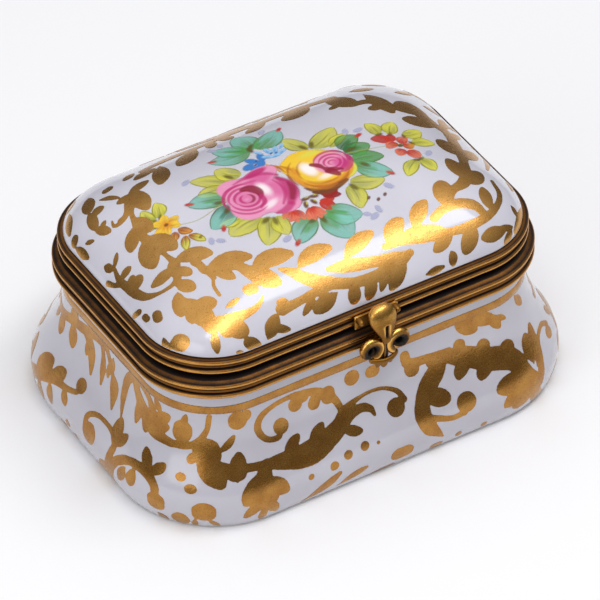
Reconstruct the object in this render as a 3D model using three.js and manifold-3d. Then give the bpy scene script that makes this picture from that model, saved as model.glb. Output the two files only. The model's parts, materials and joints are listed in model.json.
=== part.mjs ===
// Porcelain trinket box: a bombe base and a low domed lid of porcelain, each with a moulded
// brass rim, joined by a five-knuckle hinge at the back and closed by a lily-shaped clasp.
// Millimetres. +Z is up, +X runs along the length, -Y is the front with the clasp.
// The origin is the centre of the foot, on the surface that the box stands on.
import * as THREE from 'three';
import { mergeVertices } from 'three/addons/utils/BufferGeometryUtils.js';
import Module from 'manifold-3d';

const wasm = await Module();
wasm.setup();

// ---- Driving dimensions -------------------------------------------------------------------
// The parting outline is the rounded rectangle where the two brass rims meet. Every wall is
// given by how far it stands outside (+) or inside (-) that outline.
const LENGTH = 67.2; // parting outline, side to side
const DEPTH = 48; // parting outline, front to back
const CORNER = 12.8; // parting outline, corner radius
const BASE_HEIGHT = 26.3; // foot to parting plane
const LID_HEIGHT = 12.1; // parting plane to the crown of the lid
const CORNER_STEPS = 10; // facets round each corner
const CURVE_STEPS = 8; // facets along each curve of a wall's profile

const BASE_WALL = 2.5; // porcelain thickness of the base
const LID_WALL = 2.3; // porcelain thickness of the lid
const FLOOR = 3.2; // porcelain thickness under the inside floor, with the foot's recess
const FOOT_OUT = 2.9; // foot edge outside the parting outline
const FOOT_RING = 3.2; // width of the ring that the box stands on
const FOOT_RECESS = 0.8; // depth of the hollow inside that ring
const BULGE_OUT = 4.3; // widest part of the belly outside the parting outline
const BULGE_Z = 4.5; // height of the widest part
const NECK_IN = 1.1; // neck inside the parting outline
const NECK_DROP = 5.8; // parting plane down to the foot of the straight neck

const RIM_FLANGE = 0.6; // brass thickness of each seat flange, over the porcelain's edge
const RIM_REACH = 0.2; // how far a seat flange passes the porcelain's inner face
const SEAT_GAP = 0.5; // between the two closed seats
const FIT = 0.2; // clearance between brass and the piece it wraps or rests on
const BASE_RIM_HEIGHT = 3.1; // base rim, seat to lower edge
const LID_RIM_HEIGHT = 3.0; // lid rim, seat to upper edge
const BEAD = 0.38; // radius of the half-round beads on both rims
const LID_STEP = 1.5; // lid dome starts this far inside the parting outline
const LID_REBATE = 0.8; // step in the lid's porcelain that its rim sits in
const CROWN_HALF = 1; // half-width of the crown's flat strip

const TUBE_RADIUS = 1.15; // outside of each hinge knuckle
const PIN_RADIUS = 0.5;
const PIN_FIT = 0.07; // radial running clearance of the pin in the knuckles
const PIN_HEAD = 0.85; // radius of the pin's domed ends
const KNUCKLE_LENGTH = 4.4;
const KNUCKLE_GAP = 0.3;
const KNUCKLES = 5;
const LEAF = 0.6; // thickness of the leaf that solders a knuckle to its rim
const HINGE_CLEAR = 0.35; // hinge tube to the base rim's beads

const CLASP_PLATE_WIDTH = 7.6;
const CLASP_SHEET = 0.5; // plate and tongue thickness
const TONGUE_WIDTH = 1.7;
const TONGUE_DROP = 6.3; // parting plane down to the tongue's lower end
const DROP_RADIUS = 2.35; // widest half-width of the drop-shaped petal
const DROP_LENGTH = 4.9;
const DROP_LEAN = 3; // degrees, tip forward
const DROP_FLATTEN = 0.42; // depth of the drop against its width
const SCROLL_TUBE = 0.5; // radius of a side petal's rib
const SCROLL_OUTER = 1.75; // spiral radius where it leaves the stem
const SCROLL_INNER = 0.62; // spiral radius at its eye
const BAND_RADIUS = 0.4; // radius of the band that binds the petals
const BAND_HALF = 2.5;
const TAIL_RADIUS = 0.95;
const RIVET_RADIUS = 0.55;
const STUD_CLEAR = 0.08; // catch stud to the beads above and below it

const halfLength = LENGTH / 2;
const halfDepth = DEPTH / 2;
const parting = BASE_HEIGHT;
const PARTING_GAP = SEAT_GAP / 2; // each seat stands this far off the parting plane
const rimOut = BEAD; // the base rim's beads stand this far outside the parting outline

// ---- Materials ----------------------------------------------------------------------------
const porcelain = () =>
  new THREE.MeshStandardMaterial({ color: 0xe9e9ef, roughness: 0.1, metalness: 0 });
const brass = () =>
  new THREE.MeshStandardMaterial({ color: 0x9a6f2e, roughness: 0.32, metalness: 1 });

// ---- Geometry helpers ---------------------------------------------------------------------
function piece(name, geometry, material) {
  const mesh = new THREE.Mesh(geometry, material);
  mesh.name = name;
  return mesh;
}

/** Corner radius of a wall at an offset: a parallel offset outside, easing to none at the crown. */
function cornerRadius(offset) {
  if (offset >= -LID_STEP) return CORNER + offset;
  const share = (halfDepth + offset) / (halfDepth - LID_STEP);
  return (CORNER - LID_STEP) * share;
}

/** One rounded rectangle of points, anticlockwise from above, at an offset and a height. */
function ring(offset, z, radius = CORNER + offset) {
  const cornerX = halfLength + offset - radius;
  const cornerY = halfDepth + offset - radius;
  const points = [];
  [[1, 1], [-1, 1], [-1, -1], [1, -1]].forEach(([sideX, sideY], quarter) => {
    for (let i = 0; i <= CORNER_STEPS; i++) {
      const angle = (Math.PI / 2) * (quarter + i / CORNER_STEPS);
      points.push(new THREE.Vector3(
        sideX * cornerX + radius * Math.cos(angle),
        sideY * cornerY + radius * Math.sin(angle),
        z,
      ));
    }
  });
  return points;
}

/** Skin through rings; closed on itself as a hoop, or shut by a flat cap at each end. */
function skin(rings, hoop) {
  const count = rings[0].length;
  const position = rings.flat().flatMap((p) => [p.x, p.y, p.z]);
  const index = [];
  const steps = hoop ? rings.length : rings.length - 1;
  for (let i = 0; i < steps; i++) {
    const low = i * count;
    const high = ((i + 1) % rings.length) * count;
    for (let j = 0; j < count; j++) {
      const next = (j + 1) % count;
      index.push(low + j, low + next, high + next, low + j, high + next, high + j);
    }
  }
  if (!hoop) {
    const last = (rings.length - 1) * count;
    for (let j = 1; j < count - 1; j++) {
      index.push(0, j + 1, j);
      index.push(last, last + j, last + j + 1);
    }
  }
  const geometry = new THREE.BufferGeometry();
  geometry.setAttribute('position', new THREE.Float32BufferAttribute(position, 3));
  geometry.setIndex(index);
  geometry.computeVertexNormals();
  return geometry;
}

/** Points along a curve of (offset, height), without its first one when it carries on. */
function trace(curve, steps = CURVE_STEPS, carriesOn = false) {
  return curve.getPoints(steps).slice(carriesOn ? 1 : 0);
}

const at = (offset, z) => new THREE.Vector2(offset, z);

/** Half-round bead on a rim's face, from its lower edge up, standing out by BEAD. */
function bead(faceOffset, z) {
  return Array.from({ length: 5 }, (_, i) => {
    const angle = -Math.PI / 2 + (Math.PI * i) / 4;
    return at(faceOffset + BEAD * Math.cos(angle), z + BEAD * Math.sin(angle));
  });
}

function toSolid(geometry) {
  const bare = geometry.clone();
  bare.deleteAttribute('normal');
  bare.deleteAttribute('uv');
  const merged = mergeVertices(bare, 1e-4);
  return new wasm.Manifold(new wasm.Mesh({
    numProp: 3,
    vertProperties: merged.attributes.position.array,
    triVerts: new Uint32Array(merged.index.array),
  }));
}

function fromSolid(solid) {
  const mesh = solid.getMesh();
  const geometry = new THREE.BufferGeometry();
  geometry.setAttribute('position', new THREE.BufferAttribute(mesh.vertProperties, 3));
  geometry.setIndex(new THREE.BufferAttribute(mesh.triVerts, 1));
  geometry.computeVertexNormals();
  return geometry;
}

/** Box from one corner to the opposite one. */
function block(low, high) {
  const size = high.clone().sub(low);
  const middle = low.clone().add(high).multiplyScalar(0.5);
  return new THREE.BoxGeometry(size.x, size.y, size.z).translate(middle.x, middle.y, middle.z);
}

/** Cylinder along X between two x places, about the line through (y, z). */
function barAlongX(radius, fromX, toX, y, z, sides = 24) {
  return new THREE.CylinderGeometry(radius, radius, toX - fromX, sides)
    .rotateZ(Math.PI / 2)
    .translate((fromX + toX) / 2, y, z);
}

/** Round rod of a radius along a curve. */
function rod(curve, radius, steps, sides = 4) {
  const section = new THREE.Shape().absarc(0, 0, radius, 0, 2 * Math.PI);
  return new THREE.ExtrudeGeometry(section, {
    steps, extrudePath: curve, curveSegments: sides, // facets in half the rod's circle
  });
}

// ---- Porcelain ----------------------------------------------------------------------------
const basePorcelainTop = parting - PARTING_GAP - RIM_FLANGE - FIT;
const neckZ = parting - NECK_DROP;

function basePorcelain() {
  const foot = new THREE.CubicBezierCurve(
    at(FOOT_OUT, 0), at(FOOT_OUT + 0.8, 0.9), at(BULGE_OUT, BULGE_Z / 2), at(BULGE_OUT, BULGE_Z),
  );
  const rise = neckZ - BULGE_Z;
  const belly = new THREE.CubicBezierCurve(
    at(BULGE_OUT, BULGE_Z), at(BULGE_OUT, BULGE_Z + 0.28 * rise),
    at(-NECK_IN, BULGE_Z + 0.47 * rise), at(-NECK_IN, neckZ),
  );
  const insideTop = -NECK_IN - BASE_WALL;
  const insideLow = BULGE_OUT - BASE_WALL;
  const cove = 3.5; // radius between the inside wall and the floor
  const inside = new THREE.CubicBezierCurve(
    at(insideTop, neckZ), at(insideTop, BULGE_Z + 0.47 * rise),
    at(insideLow, BULGE_Z + 0.4 * rise), at(insideLow, FLOOR + cove),
  );
  const floorCove = new THREE.QuadraticBezierCurve(
    at(insideLow, FLOOR + cove), at(insideLow, FLOOR), at(insideLow - cove, FLOOR),
  );
  const profile = [
    at(FOOT_OUT - FOOT_RING - FOOT_RECESS, FOOT_RECESS),
    at(FOOT_OUT - FOOT_RING, 0),
    ...trace(foot, 5),
    ...trace(belly, CURVE_STEPS, true),
    at(-NECK_IN, basePorcelainTop),
    at(insideTop, basePorcelainTop),
    ...trace(inside),
    ...trace(floorCove, 4, true),
  ];
  return piece('base_porcelain', skin(profile.map((p) => ring(p.x, p.y)), false), porcelain());
}

const lidPorcelainLow = parting + PARTING_GAP + RIM_FLANGE + FIT;
const lidRimTop = parting + PARTING_GAP + LID_RIM_HEIGHT;
const domeLow = lidRimTop + FIT;
const crownZ = parting + LID_HEIGHT;
const rebateOffset = -LID_STEP - LID_REBATE;

/** Dome profile from its lower edge to the crown, moved inwards and down by a wall. */
function domeCurve(wall) {
  const rise = crownZ - domeLow;
  return new THREE.CubicBezierCurve(
    at(-LID_STEP - wall, domeLow - 0.3 * wall),
    at(-LID_STEP - 0.3 - wall, domeLow + 0.28 * rise - 0.3 * wall),
    at(-LID_STEP - 6.7 - 0.6 * wall, crownZ - wall),
    at(CROWN_HALF - halfDepth, crownZ - wall),
  );
}

function lidPorcelain() {
  const insideLow = rebateOffset - LID_WALL;
  const profile = [
    ...trace(domeCurve(LID_WALL + LID_REBATE), CURVE_STEPS).reverse(),
    at(insideLow, lidPorcelainLow),
    at(rebateOffset, lidPorcelainLow),
    at(rebateOffset, domeLow),
    ...trace(domeCurve(0), CURVE_STEPS + 3),
  ];
  const rings = profile.map((p) => ring(p.x, p.y, cornerRadius(p.x)));
  return piece('lid_porcelain', skin(rings, false), porcelain());
}

// ---- Brass rims ---------------------------------------------------------------------------
const baseRimTop = parting - PARTING_GAP;
const baseRimLow = baseRimTop - BASE_RIM_HEIGHT;
const baseLowerBead = baseRimLow + BEAD + 0.1;
const baseUpperBead = baseRimTop - 0.85;
const coveIn = 0.4; // depth of the cove between the base rim's beads
const lidRimFace = -0.95; // the lid rim's beads spring from here, inside the base rim's

function baseRim() {
  const wrap = -NECK_IN + FIT;
  const inner = -NECK_IN - BASE_WALL - RIM_REACH;
  const section = [
    at(wrap, baseRimLow),
    ...bead(0, baseLowerBead),
    at(-coveIn, baseLowerBead + BEAD + 0.1),
    at(-coveIn, baseUpperBead - BEAD - 0.1),
    ...bead(0, baseUpperBead),
    at(-1.3, baseRimTop), // the bevel that makes the dark groove between the rims
    at(inner, baseRimTop),
    at(inner, baseRimTop - RIM_FLANGE),
    at(wrap, baseRimTop - RIM_FLANGE),
  ];
  return piece('base_rim', skin(section.map((p) => ring(p.x, p.y)), true), brass());
}

function lidRim() {
  const seat = parting + PARTING_GAP;
  const wrap = rebateOffset + FIT;
  const inner = rebateOffset - LID_WALL - RIM_REACH;
  const lowerBead = seat + 0.9;
  const upperBead = lidRimTop - BEAD - 0.05;
  const section = [
    at(inner, seat),
    at(-1.5, seat),
    ...bead(lidRimFace, lowerBead),
    at(-1.3, lowerBead + 0.6), // cove between the beads
    at(-1.3, upperBead - 0.6),
    ...bead(lidRimFace, upperBead),
    at(wrap, lidRimTop),
    at(wrap, seat + RIM_FLANGE),
    at(inner, seat + RIM_FLANGE),
  ];
  return piece('lid_rim', skin(section.map((p) => ring(p.x, p.y)), true), brass());
}

// ---- Hinge --------------------------------------------------------------------------------
const hingeY = halfDepth + rimOut + HINGE_CLEAR + TUBE_RADIUS;
const hingeSpan = KNUCKLES * KNUCKLE_LENGTH + (KNUCKLES - 1) * KNUCKLE_GAP;
const boreRadius = PIN_RADIUS + PIN_FIT;

/** x of the left end of a knuckle, counted from 0. */
const knuckleStart = (i) => -hingeSpan / 2 + i * (KNUCKLE_LENGTH + KNUCKLE_GAP);

function knuckle(name, i, onLid) {
  const x0 = knuckleStart(i);
  const x1 = x0 + KNUCKLE_LENGTH;
  const tube = toSolid(barAlongX(TUBE_RADIUS, x0, x1, hingeY, parting));
  const bore = toSolid(barAlongX(boreRadius, x0 - 1, x1 + 1, hingeY, parting));
  const away = onLid ? 1 : -1;
  const rimFace = halfDepth + FIT + (onLid ? lidRimFace + BEAD : rimOut);
  const tall = (onLid ? LID_RIM_HEIGHT : BASE_RIM_HEIGHT) + PARTING_GAP;
  const side = (y0, y1, z0, z1) => toSolid(block(
    new THREE.Vector3(x0, y0, parting + Math.min(away * z0, away * z1)),
    new THREE.Vector3(x1, y1, parting + Math.max(away * z0, away * z1)),
  ));
  const reach = TUBE_RADIUS * 0.8; // the leaf's foot runs into the tube's wall
  const leaf = side(rimFace, rimFace + LEAF, PARTING_GAP, tall);
  const foot = side(rimFace, hingeY - boreRadius - 0.1, PARTING_GAP, reach);
  return piece(name, fromSolid(tube.add(leaf).add(foot).subtract(bore)), brass());
}

function hingePin() {
  const end = hingeSpan / 2 + KNUCKLE_GAP;
  const shaft = toSolid(barAlongX(PIN_RADIUS, -end - 0.1, end + 0.1, hingeY, parting));
  const heads = [-1, 1].map((side) => {
    const dome = new THREE.SphereGeometry(PIN_HEAD, 16, 10)
      .scale(0.7, 1, 1)
      .translate(side * (end + 0.7 * PIN_HEAD), hingeY, parting);
    return toSolid(dome);
  });
  return piece('hinge_pin', fromSolid(shaft.add(heads[0]).add(heads[1])), brass());
}

// ---- Clasp --------------------------------------------------------------------------------
const plateBack = -(halfDepth + lidRimFace + BEAD + FIT);
const plateFront = plateBack - CLASP_SHEET;
const tongueBack = -(halfDepth + rimOut + 2 * FIT + 0.1);
const tongueFront = tongueBack - CLASP_SHEET;
const petalY = tongueFront - FIT - SCROLL_TUBE;

function claspPlate() {
  const low = parting + PARTING_GAP + 0.35;
  const high = lidRimTop - 0.2;
  const half = CLASP_PLATE_WIDTH / 2;
  return piece('clasp_plate', block(
    new THREE.Vector3(-half, plateFront, low), new THREE.Vector3(half, plateBack, high),
  ), brass());
}

function claspTongue() {
  const outline = new THREE.Shape([
    at(tongueBack, parting - TONGUE_DROP),
    at(tongueBack, parting + 0.2),
    at(plateFront - FIT, parting + 1.1),
    at(plateFront - FIT, lidRimTop - 0.5),
    at(plateFront - FIT - CLASP_SHEET, lidRimTop - 0.5),
    at(tongueFront, parting + 0.6),
    at(tongueFront, parting - TONGUE_DROP),
  ]);
  const strip = new THREE.ExtrudeGeometry(outline, { depth: TONGUE_WIDTH, bevelEnabled: false });
  // The outline is drawn as (y, z) and extruded along x.
  const toXYZ = new THREE.Matrix4().makeBasis(
    new THREE.Vector3(0, 1, 0), new THREE.Vector3(0, 0, 1), new THREE.Vector3(1, 0, 0),
  );
  strip.applyMatrix4(toXYZ).translate(-TONGUE_WIDTH / 2, 0, 0);
  return piece('clasp_tongue', strip, brass());
}

const dropTop = lidRimTop + 0.35;

function claspDrop() {
  const shape = new THREE.CubicBezierCurve(
    at(0, 0), at(DROP_RADIUS * 1.5, -DROP_LENGTH * 0.02),
    at(DROP_RADIUS * 1.12, -DROP_LENGTH * 0.72), at(0, -DROP_LENGTH),
  );
  const profile = shape.getPoints(12).reverse();
  profile[0].x = 0;
  const body = new THREE.LatheGeometry(profile, 20);
  body.scale(1, 1, DROP_FLATTEN).rotateX(Math.PI / 2);
  body.rotateX(THREE.MathUtils.degToRad(-DROP_LEAN));
  const depth = DROP_RADIUS * DROP_FLATTEN;
  body.translate(0, tongueFront - FIT - depth + 0.35, dropTop);
  const slot = block(
    new THREE.Vector3(-0.25, tongueFront - 6, dropTop - 0.72 * DROP_LENGTH),
    new THREE.Vector3(0.25, tongueFront + 2, dropTop - 0.42 * DROP_LENGTH),
  );
  return piece('clasp_drop', fromSolid(toSolid(body).subtract(toSolid(slot))), brass());
}

const bandZ = parting - 5.15;

/** Spiral rib of a side petal: out of the stem, round and in to its eye. */
class Volute extends THREE.Curve {
  constructor(side) {
    super();
    this.side = side;
  }

  getPoint(t, target = new THREE.Vector3()) {
    const radius = THREE.MathUtils.lerp(SCROLL_OUTER, SCROLL_INNER, t);
    const angle = THREE.MathUtils.degToRad(-65 + 415 * t);
    const x = TONGUE_WIDTH / 2 + SCROLL_OUTER * 0.85 - radius * Math.cos(angle);
    const z = bandZ + BAND_RADIUS + FIT + SCROLL_TUBE + SCROLL_OUTER * 0.92 + radius * Math.sin(angle);
    return target.set(this.side * x, petalY, z);
  }
}

const claspScroll = (name, side) =>
  piece(name, rod(new Volute(side), SCROLL_TUBE, 26), brass());

function claspBand() {
  const forward = petalY - 1.1;
  const curve = new THREE.QuadraticBezierCurve3(
    new THREE.Vector3(-BAND_HALF, petalY, bandZ),
    new THREE.Vector3(0, 2 * forward - petalY, bandZ - 0.3),
    new THREE.Vector3(BAND_HALF, petalY, bandZ),
  );
  return piece('clasp_band', rod(curve, BAND_RADIUS, 12), brass());
}

function claspTail() {
  const lobe = new THREE.SphereGeometry(TAIL_RADIUS, 14, 10)
    .scale(0.85, 0.6, 1)
    .translate(0, petalY - 0.05, bandZ - BAND_RADIUS - FIT - TAIL_RADIUS);
  return piece('clasp_tail', lobe, brass());
}

/** Domed rivet head on the clasp plate's end. */
function claspRivet(name, side) {
  const dome = new THREE.SphereGeometry(RIVET_RADIUS, 12, 8)
    .translate(side * (CLASP_PLATE_WIDTH / 2 - RIVET_RADIUS - 0.1),
      plateFront - FIT - RIVET_RADIUS, lidRimTop - 0.9);
  return piece(name, dome, brass());
}

/** Stud on the base rim's cove, behind the tongue, that the clasp springs past. */
function catchStud() {
  const root = -(halfDepth - coveIn + FIT);
  const tip = tongueBack + FIT;
  const radius = (baseUpperBead - baseLowerBead) / 2 - BEAD - STUD_CLEAR;
  const stud = new THREE.CylinderGeometry(radius, 0.7 * radius, root - tip, 14)
    .translate(0, (root + tip) / 2, (baseUpperBead + baseLowerBead) / 2);
  return piece('catch_stud', stud, brass());
}

// ---- Assembly -----------------------------------------------------------------------------
function assemble() {
  const base = new THREE.Group();
  base.add(basePorcelain(), baseRim(), hingePin(), catchStud());
  const lid = new THREE.Group();
  lid.add(lidPorcelain(), lidRim(), claspPlate(), claspTongue(), claspDrop(), claspBand());
  lid.add(claspTail());
  [['left', -1], ['right', 1]].forEach(([word, side]) => {
    lid.add(claspScroll(`clasp_scroll_${word}`, side));
    lid.add(claspRivet(`clasp_rivet_${word}`, side));
  });
  for (let i = 0; i < KNUCKLES; i++) {
    const onLid = i % 2 === 1;
    const name = `${onLid ? 'lid' : 'base'}_knuckle_${i + 1}`;
    (onLid ? lid : base).add(knuckle(name, i, onLid));
  }
  const box = new THREE.Group();
  box.add(base, lid);
  return box;
}

export default assemble();
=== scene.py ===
"""Hinged porcelain trinket box: gilded and flower-painted porcelain in moulded brass rims.

Every size is in millimetres in the part's own frame: the box stands on z = 0, its front faces -Y, and the lid
turns about the hinge at the back. Meshes are turned into metres when they are made into pieces.
"""

import json
import logging
import math
from dataclasses import dataclass, field
from enum import Enum
from typing import Any, Callable, Iterable, Sequence

import bpy
import numpy as np
from mathutils import Matrix, Vector, geometry


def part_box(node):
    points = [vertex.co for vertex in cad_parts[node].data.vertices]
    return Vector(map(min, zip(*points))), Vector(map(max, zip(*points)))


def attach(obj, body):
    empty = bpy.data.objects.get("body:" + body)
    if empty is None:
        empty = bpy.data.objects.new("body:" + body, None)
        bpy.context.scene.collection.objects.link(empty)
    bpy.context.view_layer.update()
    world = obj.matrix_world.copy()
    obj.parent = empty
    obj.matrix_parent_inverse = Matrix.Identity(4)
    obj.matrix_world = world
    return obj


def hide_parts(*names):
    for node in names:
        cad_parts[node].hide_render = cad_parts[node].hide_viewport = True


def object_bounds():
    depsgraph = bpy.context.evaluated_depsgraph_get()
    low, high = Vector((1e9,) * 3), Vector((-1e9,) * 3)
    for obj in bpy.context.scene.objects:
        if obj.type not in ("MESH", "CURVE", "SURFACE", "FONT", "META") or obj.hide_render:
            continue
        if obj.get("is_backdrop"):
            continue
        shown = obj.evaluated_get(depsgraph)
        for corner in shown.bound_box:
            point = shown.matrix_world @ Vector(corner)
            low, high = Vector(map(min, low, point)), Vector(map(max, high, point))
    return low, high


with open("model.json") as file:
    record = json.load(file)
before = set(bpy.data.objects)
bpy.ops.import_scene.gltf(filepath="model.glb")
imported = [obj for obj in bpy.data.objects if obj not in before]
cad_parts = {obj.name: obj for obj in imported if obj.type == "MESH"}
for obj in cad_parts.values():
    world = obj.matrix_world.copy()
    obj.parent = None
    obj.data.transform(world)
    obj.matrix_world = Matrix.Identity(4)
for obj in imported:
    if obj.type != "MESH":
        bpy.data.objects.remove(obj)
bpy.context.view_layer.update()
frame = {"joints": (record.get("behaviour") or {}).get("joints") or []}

LOG = logging.getLogger("trinket_box")
MM = 0.001

Point = tuple[float, float]
Colour = tuple[float, float, float]
Faces = list[tuple[int, ...]]


# ---- Small helpers for shapes ----


def bezier(points: Sequence[Point], steps: int) -> np.ndarray:
    """Points along a cubic Bezier curve.

    Args:
        points: The four control points.
        steps: How many spans the curve is cut into.

    Returns:
        An array of steps + 1 points.
    """
    p = np.array(points, float)
    t = np.linspace(0.0, 1.0, steps + 1)[:, None]
    return (1 - t) ** 3 * p[0] + 3 * t * (1 - t) ** 2 * p[1] + 3 * t * t * (1 - t) * p[2] + t**3 * p[3]


def smooth_line(points: Sequence[Sequence[float]], per_span: int = 8) -> np.ndarray:
    """Smooth curve that passes through every point.

    Args:
        points: The points, each with any number of coordinates.
        per_span: Steps between two neighbouring points.

    Returns:
        An array of points along the curve, both ends included.
    """
    p = np.array(points, float)
    if len(p) < 3:
        t = np.linspace(0.0, 1.0, per_span + 1)[:, None]
        return p[0] * (1 - t) + p[-1] * t
    padded = np.vstack([2 * p[0] - p[1], p, 2 * p[-1] - p[-2]])
    t = (np.arange(per_span) / per_span)[:, None]
    spans = []
    for a, b, c, d in zip(padded, padded[1:], padded[2:], padded[3:]):
        spans.append(
            0.5 * (2 * b + (c - a) * t + (2 * a - 5 * b + 4 * c - d) * t**2 + (3 * b - a - 3 * c + d) * t**3)
        )
    return np.vstack(spans + [p[-1:]])


def ease(value: np.ndarray, low: float, high: float) -> np.ndarray:
    """Smooth step from 0 at low to 1 at high."""
    t = np.clip((value - low) / (high - low), 0.0, 1.0)
    return t * t * (3 - 2 * t)


def unit(vectors: np.ndarray) -> np.ndarray:
    """The vectors scaled to length 1."""
    return vectors / np.maximum(np.linalg.norm(vectors, axis=-1, keepdims=True), 1e-12)


def soft_noise(x: np.ndarray, y: np.ndarray, size: float, seed: int) -> np.ndarray:
    """Smooth random field between 0 and 1.

    Args:
        x: First coordinate of each place.
        y: Second coordinate of each place.
        size: Distance between two random values.
        seed: Picks the pattern.

    Returns:
        The field's value at each place.
    """
    table = np.random.default_rng(seed).random((64, 64))
    u, v = x / size, y / size
    i, j = np.floor(u).astype(int), np.floor(v).astype(int)
    fu, fv = u - i, v - j
    fu, fv = fu * fu * (3 - 2 * fu), fv * fv * (3 - 2 * fv)
    low = table[i % 64, j % 64] * (1 - fu) + table[(i + 1) % 64, j % 64] * fu
    high = table[i % 64, (j + 1) % 64] * (1 - fu) + table[(i + 1) % 64, (j + 1) % 64] * fu
    return low * (1 - fv) + high * fv


@dataclass
class Form:
    """A mesh in the making: its vertices in millimetres, its faces, and what is known at each vertex."""

    vertices: np.ndarray
    faces: Faces
    polish: np.ndarray | None = None
    normals: np.ndarray | None = None
    sharp_above: float = 40.0

    def joined(self, other: "Form") -> "Form":
        """Both forms as one mesh.

        Args:
            other: The form to add.

        Returns:
            A new form with the vertices and faces of both.
        """
        first = len(self.vertices)
        faces = self.faces + [tuple(i + first for i in face) for face in other.faces]
        polish = None
        if self.polish is not None and other.polish is not None:
            polish = np.concatenate([self.polish, other.polish])
        return Form(np.vstack([self.vertices, other.vertices]), faces, polish, None, self.sharp_above)

    def mirrored(self) -> "Form":
        """The form mirrored in the box's middle plane, x to -x."""
        flipped = self.vertices * np.array([-1.0, 1.0, 1.0])
        return Form(flipped, [face[::-1] for face in self.faces], self.polish, None, self.sharp_above)


def skin(rings: Sequence[np.ndarray], hoop: bool = False, caps: tuple[bool, bool] = (True, True)) -> Faces:
    """Faces of a skin through rings that all have as many points.

    Args:
        rings: The rings, each an array of points, anticlockwise as seen from where the skin runs to.
        hoop: Whether the last ring joins the first one.
        caps: Whether the first and the last ring are closed by a flat face.

    Returns:
        The faces, facing outwards.
    """
    count = len(rings[0])
    faces: Faces = []
    for i in range(len(rings) if hoop else len(rings) - 1):
        low, high = i * count, ((i + 1) % len(rings)) * count
        faces += [(low + j, low + (j + 1) % count, high + (j + 1) % count, high + j) for j in range(count)]
    if not hoop and caps[0]:
        faces.append(tuple(range(count - 1, -1, -1)))
    if not hoop and caps[1]:
        faces.append(tuple(range((len(rings) - 1) * count, len(rings) * count)))
    return faces


def sweep(
    spine: np.ndarray, wide: np.ndarray, thick: np.ndarray, side: Sequence[float], sides: int = 28,
) -> Form:
    """Rounded bar along a line, with an oval section that changes along it.

    Args:
        spine: Points of the line.
        wide: Half the section's width at each point.
        thick: Half its thickness at each point.
        side: Direction that the width lies along, as near as the line allows.
        sides: Points round the section.

    Returns:
        The bar as a closed form, its ends drawn to the section's size there.
    """
    along = unit(np.gradient(spine, axis=0))
    across = unit(np.cross(np.cross(along, np.array(side, float)), along))
    out = np.cross(along, across)
    turn = np.linspace(0.0, 2 * math.pi, sides, endpoint=False)
    rings = [
        place + np.outer(np.cos(turn) * w, a) + np.outer(np.sin(turn) * t, o)
        for place, w, t, a, o in zip(spine, wide, thick, across, out)
    ]
    return Form(np.vstack(rings), skin(rings))


def round_ends(count: int, first: float = 0.15, last: float = 0.15) -> np.ndarray:
    """Factors along a bar that close its ends roundly.

    Args:
        count: Points along the bar.
        first: Share of the length that the first end's rounding takes.
        last: Share that the last end's rounding takes.

    Returns:
        Factors between almost 0 and 1.
    """
    t = np.linspace(0.0, 1.0, count)
    start = np.sqrt(np.clip(1 - (1 - np.clip(t / first, 0, 1)) ** 2, 0, 1)) if first else 1.0
    end = np.sqrt(np.clip(1 - (1 - np.clip((1 - t) / last, 0, 1)) ** 2, 0, 1)) if last else 1.0
    return np.maximum(start * end, 0.02)


def show_relief(form: Form, share: float, passes: int = 2) -> np.ndarray:
    """How proud each vertex stands of its neighbours, for worn high places and dark hollows.

    Args:
        form: The form that is looked at.
        share: How strongly a bend counts.
        passes: How many times the result is spread to the neighbours.

    Returns:
        A value between 0, in a hollow, and 1, on a worn edge, for each vertex.
    """
    pairs = {(a, b) for face in form.faces if len(face) < 5 for a, b in zip(face, face[1:] + face[:1])}
    a, b = np.array(sorted(pairs)).T
    a, b = np.concatenate([a, b]), np.concatenate([b, a])
    count = len(form.vertices)
    links = np.maximum(np.bincount(a, minlength=count), 1)[:, None]
    mean = np.zeros_like(form.vertices)
    np.add.at(mean, a, form.vertices[b])
    mean /= links
    outward = np.zeros_like(form.vertices)
    for corners in (f for f in form.faces if len(f) < 5):
        p = form.vertices[list(corners)]
        outward[list(corners)] += np.cross(p[2] - p[0], p[-1] - p[1] if len(p) > 3 else p[2] - p[1])
    bend = np.sum((form.vertices - mean) * unit(outward), axis=1)
    length = np.zeros(count)
    np.add.at(length, a, np.linalg.norm(form.vertices[a] - form.vertices[b], axis=1))
    bend = bend / np.maximum(length / links[:, 0], 1e-6)
    for _ in range(passes):
        spread = np.zeros(count)
        np.add.at(spread, a, bend[b])
        bend = 0.5 * bend + 0.5 * spread / links[:, 0]
    return np.clip(0.5 + share * bend, 0.0, 1.0)


# ---- Shader sockets and graphs ----


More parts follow.
